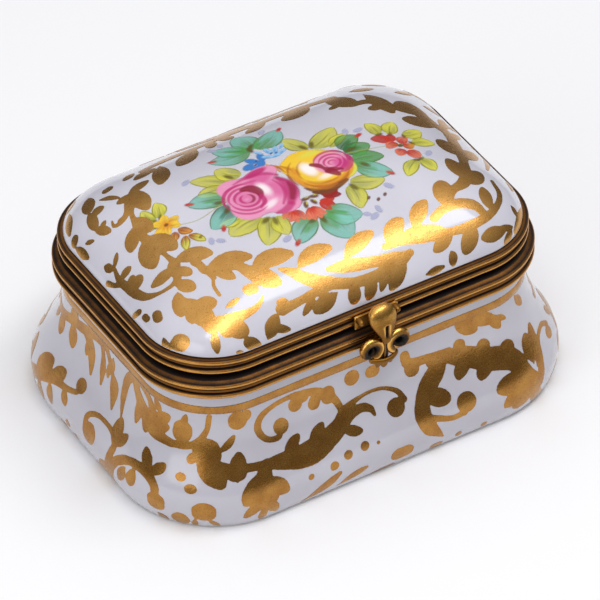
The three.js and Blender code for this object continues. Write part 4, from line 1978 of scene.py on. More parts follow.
        hanging = [
            vine([(-44.6, 20.6), (-46.1, 18.6), (-46.2, 15.8), (-45, 12.8)], [1.6, 1.8, 1.5, 0.4]),
            vine(
                [(-44.4, 20.6), (-43, 18.5), (-41, 17), (-38.6, 16), (-36.2, 15), (-34.3, 14.5)],
                [2.0, 1.9, 2.4, 2.6, 1.5, 1.2],
            ),
            leaf(-42.6, 18.4, -41.5, 13.8, 1.9, 0.2), leaf(-40.2, 17, -39, 13.8, 1.9, 0.2),
            vine([(-42.4, 20.8), (-40, 19.6), (-38.2, 17.4)], [1.8, 1.4, 1.7]),
            leaf(-38.8, 16.8, -34.9, 18.9, 2.2, -0.3), leaf(-38.4, 15.8, -34.8, 17, 1.9, -0.2),
            leaf(-38.6, 20.6, -36.8, 18.4, 1.4),
        ]
        return cluster + palmette + stalk + hanging

    def end(self) -> list[Touch]:
        """Scrolls of the left end; the right end has them mirrored.

        Returns:
            The touches.
        """
        return [
            vine(
                [
                    (-44.6, 3.4), (-44, 6), (-43.6, 8.6), (-45.4, 9.8), (-48.4, 10), (-50.6, 9.4),
                    (-51.7, 8.2), (-51.4, 6.6),
                ],
                [1.6, 1.4, 1.4, 0.9, 0.8, 0.9, 1.1, 1.3],
            ),
            ball(-50.1, 6.2, 1.8), leaf(-43.9, 8, -44.6, 13, 2.6), leaf(-43.4, 8.4, -41.7, 11.6, 1.8),
            leaf(-44.4, 4.4, -47.4, 1.6, 2), leaf(-45, 2.2, -49.6, 0.4, 1.6),
            vine(
                [(-69.6, 18.4), (-66.6, 17.6), (-63, 18.4), (-59.6, 19), (-56.4, 20), (-53.2, 20.6)],
                [0.8, 1.5, 1.7, 1.9, 1.9, 2.4],
            ),
            leaf(-66.6, 18, -65.1, 14.1, 2.2, 0.2), leaf(-67.6, 17.8, -68.6, 15.2, 1.5),
            leaf(-62.8, 18, -61.1, 14.2, 2.3, 0.2), ball(-62.4, 19.5, 1.2),
            vine([(-59, 19), (-57.2, 17.8), (-56, 16), (-55, 13.8)], [1.8, 2.0, 1.9, 0.6]),
            leaf(-58, 18, -57.4, 15.4, 1.3),
            vine([(-54.4, 20.6), (-53.4, 18.4), (-52.7, 16.2), (-52, 14)], [1.5, 1.1, 1.5, 0.5]),
            vine(
                [(-52.8, 20.2), (-51.4, 18.4), (-50, 16.8), (-48.7, 15.2), (-47.6, 12.4)],
                [1.4, 1.0, 1.0, 2.2, 0.5],
            ),
            leaf(-50.6, 19.6, -50.8, 16.4, 1.8), leaf(-51.6, 18.2, -51, 15.6, 1.1),
            vine(
                [(-55.8, 11), (-56, 9.8), (-58.4, 8.8), (-62.4, 8), (-66, 6), (-69.4, 3.2), (-72.4, 0.6)],
                [1, 0.9, 1, 1.7, 2, 2, 1.6],
            ),
            ball(-55.7, 11.1, 1.25), leaf(-66.4, 6.6, -63.6, 10.9, 3.0), leaf(-63, 7.6, -59.8, 10.9, 2.8),
            leaf(-59, 8.4, -57.2, 6.2, 1.7), leaf(-62.4, 7.4, -61.6, 3.4, 1.9),
            leaf(-64.8, 6, -64.8, 1.4, 1.8), ball(-56.6, 3.4, 0.7), ball(-54.6, 2, 0.7),
            ball(-58.4, 1.6, 1.2, 0.8), leaf(-69, 5.4, -70.6, 9.4, 1.8), leaf(-70.4, 19.2, -71.4, 16.4, 1.4),
        ]

    def touches(self) -> list[Touch]:
        """Every touch on the base's chart.

        Returns:
            The touches, in the order that they are laid.
        """
        half = self.outline.girth / 2
        front, corner, end = self.front(), self.corner(), self.end()

        def moved(group: list[Touch], sign: float, shift: float) -> list[Touch]:
            """The group mirrored by sign, then moved along the outline."""
            return [Touch(t.line * [sign, 1.0] + [shift, 0.0], t.half) for t in group]

        placed = front + corner + end + moved(end, -1.0, 0.0)
        right_corner = [t for t in corner if t.line[:, 0].max() < self.corner_end]
        placed += moved(right_corner, -1.0, 0.0)
        for turn in (half, -half):
            placed += moved(front + [t for t in corner if t.line[:, 0].max() > self.corner_end], 1.0, turn)
        return placed

    def build(self) -> None:
        """Makes the scrolls and the neck's gold line."""
        half = self.outline.girth / 2
        gilding = Gilding(self.chart, (-half, 0.0), (half, self.top + 0.4), grow=0.08)
        middle, reach = (self.foot + self.top) / 2, (self.top - self.foot) / 2
        values = gilding.field(self.touches(), lambda x, y: np.abs(y - middle) - reach)
        make_piece("base_gilding", gilding.form(values), Finish.BASE_GOLD_PAINTED_SHADE, Body.BASE)
        count = self.line_rings
        around = np.linspace(-half, half, count, endpoint=False)
        rows = []
        for side, lift in (
            (-0.5, -self.line_sink), (-0.42, self.line_lift), (0.42, self.line_lift), (0.5, -self.line_sink),
        ):
            drift = 0.12 * (
                soft_noise(around + half, around * 0 + side, 4.0, 9) - 0.5
            ) * math.copysign(1, side)
            up = self.line_place + side * self.line_width + drift * (1 - np.abs(around) / half)
            points, _ = self.chart.lifted(around, up, np.full(count, lift))
            rows.append(points)
        form = Form(np.vstack(rows), skin(rows, caps=(False, False)), sharp_above=80)
        make_piece("base_neck_line", form, Finish.BASE_GOLD_PAINTED_SHADE, Body.BASE)


@dataclass
class LidGilding:
    """Leafy garland round the lid."""

    chart: LidChart
    edge: float = 0.05
    row_below: float = -17.6
    row_left_of: float = 12.0

    def garland(self) -> list[Touch]:
        """Garland along one long side, as it lies on the front.

        Returns:
            The touches.
        """
        leaves = [
            leaf(-21.4, -10.2, -13.8, -11.9, 2.9, 0.5), leaf(-20.6, -11, -18.3, -14.3, 2.1),
            leaf(-16, -14.2, -7.8, -14, 3.3, 0.9), leaf(-16.6, -12.6, -12.2, -17.8, 3.6, -0.4),
            leaf(-9.4, -16.8, -1.8, -15.3, 2.9, 0.9), leaf(-1.8, -18.2, 5.4, -15.4, 2.8, 0.6),
            leaf(6, -18.6, 10.8, -15, 3, 0.5), leaf(11.2, -17.8, 15.8, -13.7, 2.8, 0.5),
        ]
        stem = [
            vine(
                [(-21.6, -9), (-21.4, -10.6), (-19, -11.4), (-17, -12.4), (-15.6, -14.6), (-13.6, -16)],
                [1.2, 1.6, 1.8, 1.8, 2.6, 2],
            ),
            vine(
                [
                    (-11.6, -15.5), (-10, -16.8), (-8.4, -18.6), (-5.8, -20.2), (-2, -21.6), (2, -22),
                    (6, -21.6), (9.2, -20.6),
                ],
                [0.7, 1.9, 2.4, 2.3, 1.8, 2, 2.2, 1.3],
            ),
            vine([(-4.6, -18.4), (-1.6, -18.9), (2.5, -19.8), (6.5, -20.5), (9, -20.6)], [1, 2.3, 1.9, 2, 1]),
            vine(
                [
                    (5.6, -18.4), (8.6, -18.3), (11.5, -18.5), (14.5, -19.2), (16.5, -19.9), (20.5, -20.2),
                    (24, -19.6), (26.6, -18.2), (28.3, -16.2), (28.5, -13.4),
                ],
                [1.2, 1.9, 3, 2.6, 1.4, 1.7, 1.6, 1.3, 1.2, 0.9],
            ),
        ]
        lower = [
            leaf(-20.2, -25, -15.8, -21.6, 2.3), leaf(-18.6, -23.2, -15.2, -24.7, 1.7),
            vine([(-15, -21.4), (-11.6, -21.2), (-8, -20.8), (-5.6, -20.6)], [2, 1.4, 1.6, 1.8]),
            ball(-14.2, -20.5, 1.1, 0.8), leaf(-8.4, -21.2, -12.4, -23.5, 1.3),
            leaf(-4.8, -22, -10.6, -23.7, 2.6), leaf(-1.4, -22, -3.7, -24.8, 2.4),
            leaf(-1, -22.4, -3.7, -20.6, 1.5), leaf(2, -22, -0.9, -25, 2.3), leaf(8.2, -21, 3.6, -25, 2.8),
            leaf(4.4, -21.6, 2, -24.6, 1.6),
        ]
        return leaves + stem + lower

    def front_right(self) -> list[Touch]:
        """Leaves that turn round the front-right corner and up the right end.

        Returns:
            The touches.
        """
        return [
            leaf(18, -15.9, 19.6, -11, 3.6),
            vine(
                [(18.4, -15.2), (20.6, -13.6), (23, -12.8), (24.6, -11), (25.8, -8.6), (27, -6.4)],
                [1.6, 1.5, 2.2, 2.2, 1.8, 2.4],
            ),
            leaf(23.8, -12.4, 23.4, -6.7, 3), leaf(23.4, -12.8, 27.7, -11, 3.2, -0.3),
            leaf(27, -6.6, 25, -1.2, 3.5), leaf(26.6, -7, 31, -4.8, 3.3, -0.2),
            vine([(27, -5), (28.2, -2), (28.8, 1), (27.6, 3.4)], [2.6, 2.4, 2.4, 2]),
            leaf(28, 2.4, 22.3, 4.9, 3.4), leaf(27.4, 3.4, 26.2, 10.2, 3.2), leaf(28.8, 1.6, 31.6, 6.4, 2.2),
            leaf(28.6, -1, 31.8, 1.4, 2),
            vine(
                [(15.2, -17), (17.4, -16.2), (20, -16.2), (22.4, -17.2), (23.5, -19)],
                [1.6, 1.7, 1.9, 2, 1.5],
            ),
            leaf(24.8, -18.8, 25.7, -14.1, 2.5), leaf(17.4, -20.2, 12.8, -21.9, 2.3),
            leaf(21.2, -20.4, 18.2, -24.1, 3.2), leaf(16, -22.6, 16.6, -25.2, 1.8),
            leaf(10.4, -24.6, 14.8, -24.5, 1.4), leaf(24.4, -22, 28.8, -22.3, 1.2),
            leaf(27.2, -22.6, 21.6, -22.6, 2.6), leaf(28.4, -22.8, 26.4, -24.8, 1.8),
            leaf(29.6, -18.2, 30.6, -21, 1.2), leaf(34.4, -18, 28.8, -23.6, 2.6),
            leaf(34.4, -11.6, 32.2, -15.6, 1.9),
            vine([(29.8, -10.3), (32.2, -7.4), (34.4, -3.6)], [0.8, 1.5, 1.6]),
            leaf(34.6, 0, 32.6, -2.6, 1.6), leaf(31, 3, 33.8, 4.4, 1.8),
        ]

    def front_left(self) -> list[Touch]:
        """Palmette of the front-left corner and the vine up the left end.

        Returns:
            The touches.
        """
        palmette = [
            leaf(-26.8, -11, -28.9, -15.6, 2.5), leaf(-26.6, -12.8, -25.8, -20.2, 3.6),
            leaf(-26.4, -15, -22.8, -16.3, 2.7), leaf(-27, -14.4, -28.2, -17.6, 1.8),
            vine(
                [(-26, -19.2), (-23, -19.8), (-19.6, -19.9), (-17.4, -19.2), (-16.2, -18.2)],
                [2.8, 2.2, 1.3, 0.8, 0.3],
            ),
            leaf(-22.9, -17.9, -19.7, -17.3, 1.1), ball(-17.5, -16.7, 1.35, 0.95),
            leaf(-25.8, -19.4, -28.3, -23.8, 1.6), ball(-24.6, -21.1, 1.2), ball(-23, -21.6, 1.7),
            ball(-31.7, -18.9, 1.75, 1.5, 20), leaf(-33, -16.2, -34.6, -19.8, 1.6), ball(-22.6, -24.6, 1.4),
            ball(-25.3, -25.2, 0.7), ball(-33.8, -9, 0.7, 1.15, 75), ball(-33.1, -11.3, 0.68, 1.05),
            ball(-31.6, -12.7, 0.85, 1.25, -20),
            vine([(-21.4, -12.6), (-22, -13.8), (-22.1, -15.5)], [0.6, 0.7, 0.7]),
        ]
        vines = [
            vine(
                [
                    (-31.6, 1.4), (-32.2, -0.8), (-32, -3.4), (-31.6, -6), (-30.8, -8), (-29, -9.3),
                    (-27, -9.6), (-25.4, -9),
                ],
                [0.8, 1.2, 1.7, 1.8, 1.5, 0.9, 0.9, 1.2],
            ),
            vine([(-34, 1.2), (-33.4, -0.4), (-32.4, -2)], [1.2, 1, 1]),
            leaf(-32, -1.4, -29.2, -0.9, 1.7, 0.3), leaf(-31.8, -5, -28.9, -3.7, 2.4, 0.2),
            leaf(-31.2, -3.2, -30, -2.4, 1.4), leaf(-31.8, 1.4, -32.5, 4.2, 1.6),
            leaf(-31.7, 1.4, -29.5, 3.7, 1.1), leaf(-25.2, 1.8, -27, -4.9, 3.5, -0.3),
            leaf(-24.9, 1.8, -22.6, -4.3, 3.3, 0.4),
            vine([(-25.2, 3.2), (-25, 0.5), (-24.5, -3.4), (-24.3, -6)], [1.4, 1.8, 0.9, 1.4]),
            leaf(-24.2, -6.6, -29.6, -7.2, 2.4, 0.2), leaf(-24.4, -5.8, -18.6, -8.6, 3.2, 0.5),
            leaf(-24.6, -7.4, -23.4, -10.1, 2),
            vine([(-24.6, -6.4), (-25.4, -8.6), (-26, -10)], [2.2, 1.4, 1.3]),
            leaf(-26, -9.4, -24.2, -12.7, 2.5, -0.2),
            vine([(-21.9, -8.2), (-21.5, -10), (-21.2, -12.4)], [1.6, 1.2, 1]),
        ]
        upper = [
            leaf(-24.4, 6.6, -23.4, 1.8, 3), leaf(-24.6, 5.2, -28.2, 1.1, 2.7, -0.2),
            vine([(-23.4, 8.6), (-24.2, 7), (-24.8, 4)], [1, 1, 1.6]),
            vine([(-23.2, 10), (-24.4, 8.4), (-26, 7.6), (-27.2, 8), (-27, 9)], [1.4, 1.2, 1.1, 0.8, 0.5]),
            ball(-25.6, 7.9, 1, 0.6), leaf(-21.2, 12.4, -21.7, 5.9, 3.1), leaf(-22.4, 11.7, -17.9, 12.5, 1.9),
            leaf(-21.4, 11, -24.8, 11.4, 1.8), leaf(-26.5, 15.4, -23.5, 12, 1.3, 0.3),
            leaf(-26.8, 18, -28.8, 14, 2.8), leaf(-28.8, 13.4, -26, 12.9, 1.9),
            leaf(-28.6, 14.6, -29.6, 10, 2.2), leaf(-29.9, 11, -28, 7.4, 1.8),
            leaf(-29.4, 9.6, -27.4, 10.2, 1.1), leaf(-32.5, 11, -30.8, 9.1, 1),
            leaf(-34.2, 14, -32.2, 13, 1.8), leaf(-34, 13.4, -33.4, 8.1, 1.7), ball(-23.8, 16.2, 1.1, 0.8),
            leaf(-30.6, 19.6, -33.4, 15, 2.2), leaf(-28, 21.6, -31.4, 20.6, 1.8),
        ]
        return palmette + vines + upper

    def back(self) -> list[Touch]:
        """Leaves of the back border and the back corners.

        Returns:
            The touches.
        """
        return [
            leaf(-18.4, 17, -21.1, 15.9, 1.7), leaf(-15, 15.8, -19.9, 14.4, 2.1),
            leaf(-14.4, 16, -17.6, 9.7, 3.1, 0.3), leaf(-7.2, 16.8, -12.7, 12.9, 3.3),
            leaf(-4.4, 17.4, -5.7, 14.9, 2.2), leaf(-3.2, 17.2, -0.8, 15.8, 2),
            leaf(5.6, 17.2, 0.6, 15.3, 2.3), leaf(13.2, 16.8, 6.8, 14.9, 3.5, 0.3),
            leaf(16, 16.8, 18.2, 10.4, 3.8), leaf(16.6, 13, 14, 12.4, 1.4),
            leaf(21.2, 14.2, 22, 6.2, 3.4, 0.3), leaf(21.6, 9, 18.7, 8.7, 1.8), leaf(24, 7, 26.2, 10.2, 3),
            vine(
                [(17.6, 11.4), (20.4, 11.2), (22.6, 9), (24.6, 7.4), (26.6, 6.4), (27.6, 4)],
                [1.4, 1.8, 2, 2.2, 2.4, 2.2],
            ),
            vine(
                [(-17.4, 16.6), (-12, 17.6), (-6, 17.8), (0, 18.2), (6, 18), (12, 17.6), (17, 16.4)],
                [1.2, 1.8, 1.6, 1.8, 1.8, 2, 2],
            ),
            leaf(20, 16.6, 24.6, 15.8, 1.9), leaf(26.6, 13.6, 30.6, 14, 1.8), leaf(29.6, 10, 32.8, 8.2, 1.8),
            leaf(24.4, 19.6, 28.6, 18.2, 2.2), leaf(30.4, 16.8, 32.8, 12.4, 2), leaf(22, 23.6, 25.6, 21.8, 2),
        ]

    def far_side(self) -> list[Touch]:
        """Lower row of the garland repeated along the back edge.

        Returns:
            The touches.
        """
        kept = []
        for touch in self.garland():
            if touch.line[:, 1].max() < self.row_below and touch.line[:, 0].max() < self.row_left_of:
                kept.append(Touch(-touch.line, touch.half))
        return kept

    def build(self) -> None:
        """Makes the piece."""
        gilding = Gilding(
            self.chart, (-self.chart.half_u, -self.chart.half_v), (self.chart.half_u, self.chart.half_v),
            seed=11,
        )
        touches = self.garland() + self.front_right() + self.front_left() + self.back() + self.far_side()
        values = gilding.field(touches, lambda x, y: self.chart.edge(x, y) + self.edge)
        make_piece("lid_gilding", gilding.form(values), Finish.LID_GOLD, Body.LID)


# ---- Flower painting ----


class Tint(Enum):
    """Enamel colours of the flower painting."""

    PINK = linear(214, 86, 148)
    PALE_PINK = linear(234, 150, 188)
    ROSE = linear(188, 36, 108)
    CRIMSON = linear(140, 8, 46)
    DARK_RED = linear(150, 20, 14)
    RED = linear(196, 46, 28)
    CORAL = linear(226, 116, 86)
    ORANGE = linear(222, 146, 36)
    AMBER = linear(178, 100, 20)
    YELLOW = linear(244, 200, 52)
    LEMON = linear(220, 216, 78)
    LIME = linear(186, 186, 60)
    GREEN = linear(84, 160, 78)
    DARK_GREEN = linear(38, 112, 52)
    OLIVE = linear(92, 76, 20)
    TEAL = linear(132, 204, 186)
    DEEP_TEAL = linear(44, 118, 92)
    BLUE = linear(62, 128, 200)
    SKY = linear(152, 200, 236)
    NAVY = linear(34, 70, 146)
    LILAC = linear(182, 184, 214)
    BROWN = linear(112, 58, 20)
    WHITE = linear(252, 246, 246)


@dataclass
class Canvas:
    """Sheet that enamel is painted on, stroke over stroke."""

    low: Point
    high: Point
    cell: float = 0.12
    x: np.ndarray = field(init=False)
    y: np.ndarray = field(init=False)
    colour: np.ndarray = field(init=False)
    cover: np.ndarray = field(init=False)

    def __post_init__(self) -> None:
        """Starts a bare sheet."""
        across = np.arange(self.low[0], self.high[0], self.cell)
        up = np.arange(self.low[1], self.high[1], self.cell)
        self.x, self.y = np.meshgrid(across, up)
        self.colour = np.ones(self.x.shape + (3,))
        self.cover = np.zeros(self.x.shape)

    def lay(self, alpha: np.ndarray, tint: Any) -> None:
        """Lays paint over what is there.

        Args:
            alpha: How well it covers, at each place.
            tint: Its colour, one or one for each place.
        """
        alpha = np.clip(alpha, 0.0, 1.0)
        total = alpha + self.cover * (1 - alpha)
        share = (alpha / np.maximum(total, 1e-6))[..., None]
        self.colour = np.where(
            total[..., None] > 1e-6, np.asarray(tint) * share + self.colour * (1 - share), self.colour,
        )
        self.cover = total

    def petal(
        self,
        base: Point,
        tip: Point,
        width: float,
        inner: Tint,
        outer: Tint,
        line: Tint | None = None,
        cover: float = 0.9,
        seed: int = 0,
    ) -> None:
        """Petal or leaf painted from its base to its tip.

        Args:
            base: Where it starts.
            tip: Where it ends.
            width: Its widest breadth.
            inner: Colour at the base.
            outer: Colour at the tip.
            line: Colour of its fine outline and vein, if it has them.
            cover: How well the paint covers.
            seed: Picks its brush marks.
        """
        reach = np.subtract(tip, base)
        length = float(np.hypot(*reach))
        along = ((self.x - base[0]) * reach[0] + (self.y - base[1]) * reach[1]) / length**2
        across = (-(self.x - base[0]) * reach[1] + (self.y - base[1]) * reach[0]) / length
        s = np.clip(along, 0, 1)
        half = width / 2 * np.sin(math.pi * s**0.88) ** 0.6
        bow = 0.1 * width * (1 if seed % 2 else -1)
        across = across - bow * np.sin(math.pi * s) + 0.1 * (soft_noise(self.x, self.y, 0.8, seed) - 0.5)
        inside = np.where((along > 0) & (along < 1), half - np.abs(across), -1.0)
        mask = ease(inside, -0.12, 0.2)
        streak = soft_noise(across * 6 / max(width, 0.1), along * 1.4, 0.6, seed)
        grade = ease(s + (streak - 0.5) * 0.5, 0.08, 0.72)[..., None]
        tint = np.asarray(inner.value) * (1 - grade) + np.asarray(outer.value) * grade
        pool = 0.14 * (1 - ease(inside, 0.1, 0.5))
        self.lay(mask * cover * (0.72 + 0.3 * streak + pool), tint)
        if line:
            rim = ease(inside, 0.0, 0.1) * (1 - ease(inside, 0.14, 0.26)) * ease(s, 0.08, 0.3)
            vein = (
                1 - ease(np.abs(across + 0.03), 0.02, 0.12)
            ) * ease(s, 0.0, 0.1) * (1 - ease(s, 0.55, 0.8))
            self.lay(np.maximum(rim * 0.7, vein * 0.55), line.value)

    def stroke(
        self, points: Sequence[Point], widths: Sequence[float], tint: Tint, cover: float = 0.85,
        soft: float = 0.2,
    ) -> None:
        """One stroke of a loaded brush.

        Args:
            points: Places that it passes through.
            widths: Its breadth at each of them.
            tint: Its colour.
            cover: How well it covers.
            soft: Width of its soft edge.
        """
        line = smooth_line([(*p, w) for p, w in zip(points, widths)], 6)
        inside = np.full(self.x.shape, -9.0)
        for a, b in zip(line, line[1:]):
            span = b[:2] - a[:2]
            share = np.clip(
                ((self.x - a[0]) * span[0] + (self.y - a[1]) * span[1]) / max(float(span @ span), 1e-9), 0, 1,
            )
            away = np.hypot(self.x - a[0] - share * span[0], self.y - a[1] - share * span[1])
            inside = np.maximum(inside, (a[2] + (b[2] - a[2]) * share) / 2 - away)
        self.lay(ease(inside, -soft / 2, soft / 2) * cover, tint.value)

    def dab(
        self, x: float, y: float, rx: float, ry: float, tint: Tint, cover: float = 0.8, turn: float = 0.0,
        soft: float = 0.5,
    ) -> None:
        """Soft oval dab.

        Args:
            x: Middle, first coordinate.
            y: Middle, second coordinate.
            rx: Half its length.
            ry: Half its breadth.
            tint: Its colour.
            cover: How well it covers.
            turn: Angle of its length in degrees.
            soft: Share of it that fades out.
        """
        c, s = math.cos(math.radians(turn)), math.sin(math.radians(turn))
        u = ((self.x - x) * c + (self.y - y) * s) / rx
        v = (-(self.x - x) * s + (self.y - y) * c) / ry
        self.lay((1 - ease(np.hypot(u, v), 1 - soft, 1.0)) * cover, tint.value)

    def arc(
        self,
        centre: Point,
        radius: Point,
        start: float,
        end: float,
        width: float,
        tint: Tint,
        cover: float = 0.8,
        soft: float = 0.3,
    ) -> None:
        """Curved stroke round a flower's heart.

        Args:
            centre: The heart.
            radius: Half-axes of the oval that the stroke follows.
            start: Angle where it starts, in degrees.
            end: Angle where it ends.
            width: Its widest breadth.
            tint: Its colour.
            cover: How well it covers.
            soft: Width of its soft edge.
        """
        turn = np.radians(np.linspace(start, end, 7))
        points = [(centre[0] + radius[0] * math.cos(a), centre[1] + radius[1] * math.sin(a)) for a in turn]
        widths = [width * w for w in (0.15, 0.65, 0.95, 1.0, 0.95, 0.65, 0.15)]
        self.stroke(points, widths, tint, cover, soft)


@dataclass
class Bouquet:
    """Spray of roses, daisies and blue florets painted in the middle of the lid."""

    chart: LidChart
    low: Point = (-24.5, -15.5)
    high: Point = (24.5, 16.5)
    lift: float = 0.03
    bare_lift: float = 0.01
    least_cover: float = 0.012

    def leaves(self, canvas: Canvas) -> None:
        """Leaves, painted first.

        Args:
            canvas: The sheet.
        """
        outlined = [
            ((-8.6, 3.2), (-13.6, 7.4), 3.4), ((-6.6, 4.2), (-9, 7.9), 3.6), ((-9.6, 2.6), (-14.6, 3.4), 2.8),
            ((5.4, 4.4), (3.6, 9.2), 3), ((6, 4.2), (11.6, 7.2), 3.8), ((8.4, 3), (12.4, 4.6), 2.2),
            ((-8.8, -5.6), (-15, -6.8), 4), ((-8, -6), (-11, -11), 3.8), ((-6.6, -6.6), (-7, -10.6), 3.2),
            ((6.4, -6.2), (5.6, -11), 3.2), ((6.8, -5.6), (11.8, -7.6), 3.2),
            ((-11.6, -4.4), (-15.2, -4.2), 2),
        ]
        for i, (base, tip, width) in enumerate(outlined):
            canvas.petal(base, tip, width, Tint.LIME, Tint.LEMON, Tint.OLIVE, 0.8, seed=20 + i)
        blue_green = [
            ((-1.4, 9.4), (-1.6, 15.4), 4.4, Tint.GREEN, Tint.TEAL),
            ((-2, 9.2), (-8.6, 10.2), 4, Tint.GREEN, Tint.TEAL),
            ((-0.8, 9), (4.8, 12.4), 4.2, Tint.GREEN, Tint.TEAL),
            ((-2.2, 9.8), (-6.4, 13.4), 3.6, Tint.GREEN, Tint.TEAL),
            ((-11.2, 0.4), (-16.8, 2.6), 3.8, Tint.GREEN, Tint.TEAL),
            ((-11.4, -1), (-16.4, -4.2), 4, Tint.DEEP_TEAL, Tint.TEAL),
            ((-1.8, -9.4), (-6.6, -12.6), 3.8, Tint.GREEN, Tint.TEAL),
            ((-0.6, -9.6), (1.8, -15), 5.2, Tint.GREEN, Tint.TEAL),
            ((0.4, -9), (5.2, -12), 4.2, Tint.GREEN, Tint.TEAL),
            ((9.4, 1.6), (13.4, 3.4), 3.6, Tint.DARK_GREEN, Tint.GREEN),
            ((9.6, 1), (14, 0.4), 3.4, Tint.DARK_GREEN, Tint.GREEN),
            ((9.4, -1.6), (14.4, -3), 3.2, Tint.GREEN, Tint.GREEN),
            ((9.4, -2.6), (13.6, -7), 3.6, Tint.GREEN, Tint.TEAL),
        ]
        for i, (base, tip, width, inner, outer) in enumerate(blue_green):
            canvas.petal(base, tip, width, inner, outer, Tint.OLIVE, 0.74, seed=40 + i)
            canvas.dab(
                *np.add(np.multiply(base, 0.55), np.multiply(tip, 0.45)), 1.3, 0.5, inner, 0.5,
                math.degrees(math.atan2(tip[1] - base[1], tip[0] - base[0])), 0.8,
            )
        reds = (
            (-8, 10.3, 160), (4.9, 12.3, 40), (-16.4, 2.7, 150), (-6.5, -12.5, 215), (13.6, 3.2, 20),
            (13.2, -6.8, 310), (-14.9, -4.9, 240),
        )
        for x, y, turn in reds:
            canvas.dab(x, y, 1.0, 0.5, Tint.RED, 0.85, turn, 0.6)
        hearts = (
            (-1.8, 9.6, 90), (-1.2, 10.4, 40), (-12.6, 0.4, 160), (-12.4, -1.8, 220), (-0.8, -10.2, 280),
            (-2.2, -9.8, 200), (10.8, 0.8, 0), (10.8, -3.4, 300), (-8.2, 5, 120), (-8.6, -6.6, 200),
            (-7.4, -7.4, 260), (6.8, -6.8, 290), (6.4, 5, 60), (5, 5.2, 110),
        )
        for x, y, turn in hearts:
            canvas.dab(x, y, 1.3, 0.6, Tint.OLIVE, 0.8, turn, 0.7)

    def blue_florets(self, canvas: Canvas) -> None:
        """Blue florets between the roses.

        Args:
            canvas: The sheet.
        """
        dabs = [
            (-4.4, 5.5, 1.3, 0.9, 200), (-3.2, 6.6, 1.4, 0.8, 130), (-2.3, 5.3, 1.2, 0.8, 60),
            (-3.6, 4.6, 1.2, 0.7, 0), (-1.5, 6.7, 1.3, 0.8, 80), (0.2, 7.6, 1.2, 0.6, 100),
            (1.3, 7.2, 1.3, 0.6, 60), (-0.6, 6.2, 1.2, 0.6, 150), (1.9, 6.2, 1.2, 0.5, 20),
            (0.6, 5.8, 1.1, 0.5, 0), (2.6, 7.6, 1.1, 0.4, 45), (-1.2, 8.0, 1.0, 0.4, 120),
        ]
        for i, (x, y, rx, ry, turn) in enumerate(dabs):
            canvas.dab(x, y, rx, ry, Tint.SKY if i > 4 else Tint.BLUE, 0.9, turn, 0.45)
            canvas.dab(x - 0.2, y - 0.2, rx * 0.6, ry * 0.5, Tint.BLUE, 0.55, turn, 0.8)
        for x, y in ((-3.2, 5.4), (-2.6, 6.2), (0.3, 6.7), (1, 6.4)):
            canvas.dab(x, y, 0.4, 0.25, Tint.NAVY, 0.7, 30)

    def pink_rose(self, canvas: Canvas) -> None:
        """Full pink rose.

        Args:
            canvas: The sheet.
        """
        lobes = [
            (-6.9, -0.9, 5.1, 4.9, 0), (-4.2, 2.6, 3.4, 2.0, 14), (-3.4, -2.4, 2.6, 3.4, 10),
            (-4.6, -4.6, 3.2, 2.2, -20), (-9.2, -2.8, 3.2, 3.0, 30), (-8.6, 1.6, 3.4, 2.6, -24),
        ]
        for x, y, rx, ry, turn in lobes:
            canvas.dab(x, y, rx, ry, Tint.PALE_PINK, 0.97, turn, 0.14)
        canvas.dab(-4.8, 1.9, 3.4, 1.5, Tint.PINK, 0.8, 6, 0.6)
        canvas.dab(-3.6, -1.2, 1.9, 3.4, Tint.PINK, 0.7, 12, 0.7)
        canvas.dab(-4.4, 3.6, 2.7, 0.9, Tint.ROSE, 0.92, 10, 0.45)
        canvas.stroke(
            [(-8.6, 2.9), (-6.4, 3.3), (-3.6, 2.9), (-1.8, 1.5)], [0.3, 0.7, 0.8, 0.4], Tint.ROSE, 0.75, 0.5,
        )
        canvas.stroke([(-10.6, 2), (-8, 2.4), (-5.4, 2)], [0.2, 0.5, 0.3], Tint.ROSE, 0.55, 0.4)
        canvas.stroke(
            [(-2.2, 0.9), (-1.6, -1.2), (-1.9, -3.2), (-3.2, -5)], [0.7, 1.8, 2.1, 1.3], Tint.ROSE, 0.85, 0.7,
        )
        canvas.stroke([(-1.4, -1.0), (-1.5, -2.6), (-2.6, -4.4)], [0.4, 1.1, 0.8], Tint.CRIMSON, 0.8, 0.5)
        canvas.stroke(
            [(-3, 0.8), (-2.6, -1), (-3, -3), (-4.4, -4.8)], [0.3, 0.5, 0.6, 0.4], Tint.ROSE, 0.75, 0.35,
        )
        canvas.stroke([(-3.4, -5.4), (-4.8, -6.1), (-6.2, -6)], [1.2, 1.2, 0.4], Tint.ROSE, 0.8, 0.5)
        canvas.dab(-5.2, -0.4, 1.3, 2.4, Tint.WHITE, 0.85, 8, 0.75)
        canvas.dab(-6, -3.9, 2.0, 0.9, Tint.WHITE, 0.7, 24, 0.75)
        canvas.dab(-8.6, -1.1, 2.9, 2.7, Tint.PINK, 0.55, 0, 0.7)
        heart = [
            (3.7, 3.5, 62, 190, 0.6, Tint.ROSE, 0.85), (3.6, 3.4, 185, 300, 0.45, Tint.ROSE, 0.75),
            (2.9, 2.7, 60, 180, 0.5, Tint.ROSE, 0.8), (2.8, 2.6, 170, 330, 0.5, Tint.ROSE, 0.8),
            (2.0, 1.9, 50, 190, 0.5, Tint.ROSE, 0.85), (1.9, 1.8, 190, 380, 0.5, Tint.ROSE, 0.85),
            (1.1, 1.0, 100, 250, 0.45, Tint.ROSE, 0.85), (1.0, 1.0, 250, 420, 0.5, Tint.CRIMSON, 0.8),
        ]
        for rx, ry, start, end, width, tint, cover in heart:
            canvas.arc((-8.5, -1.1), (rx, ry), start, end, width, tint, cover, 0.25)
        canvas.dab(-8.7, -1.2, 0.6, 0.5, Tint.PALE_PINK, 0.7, 0, 0.8)
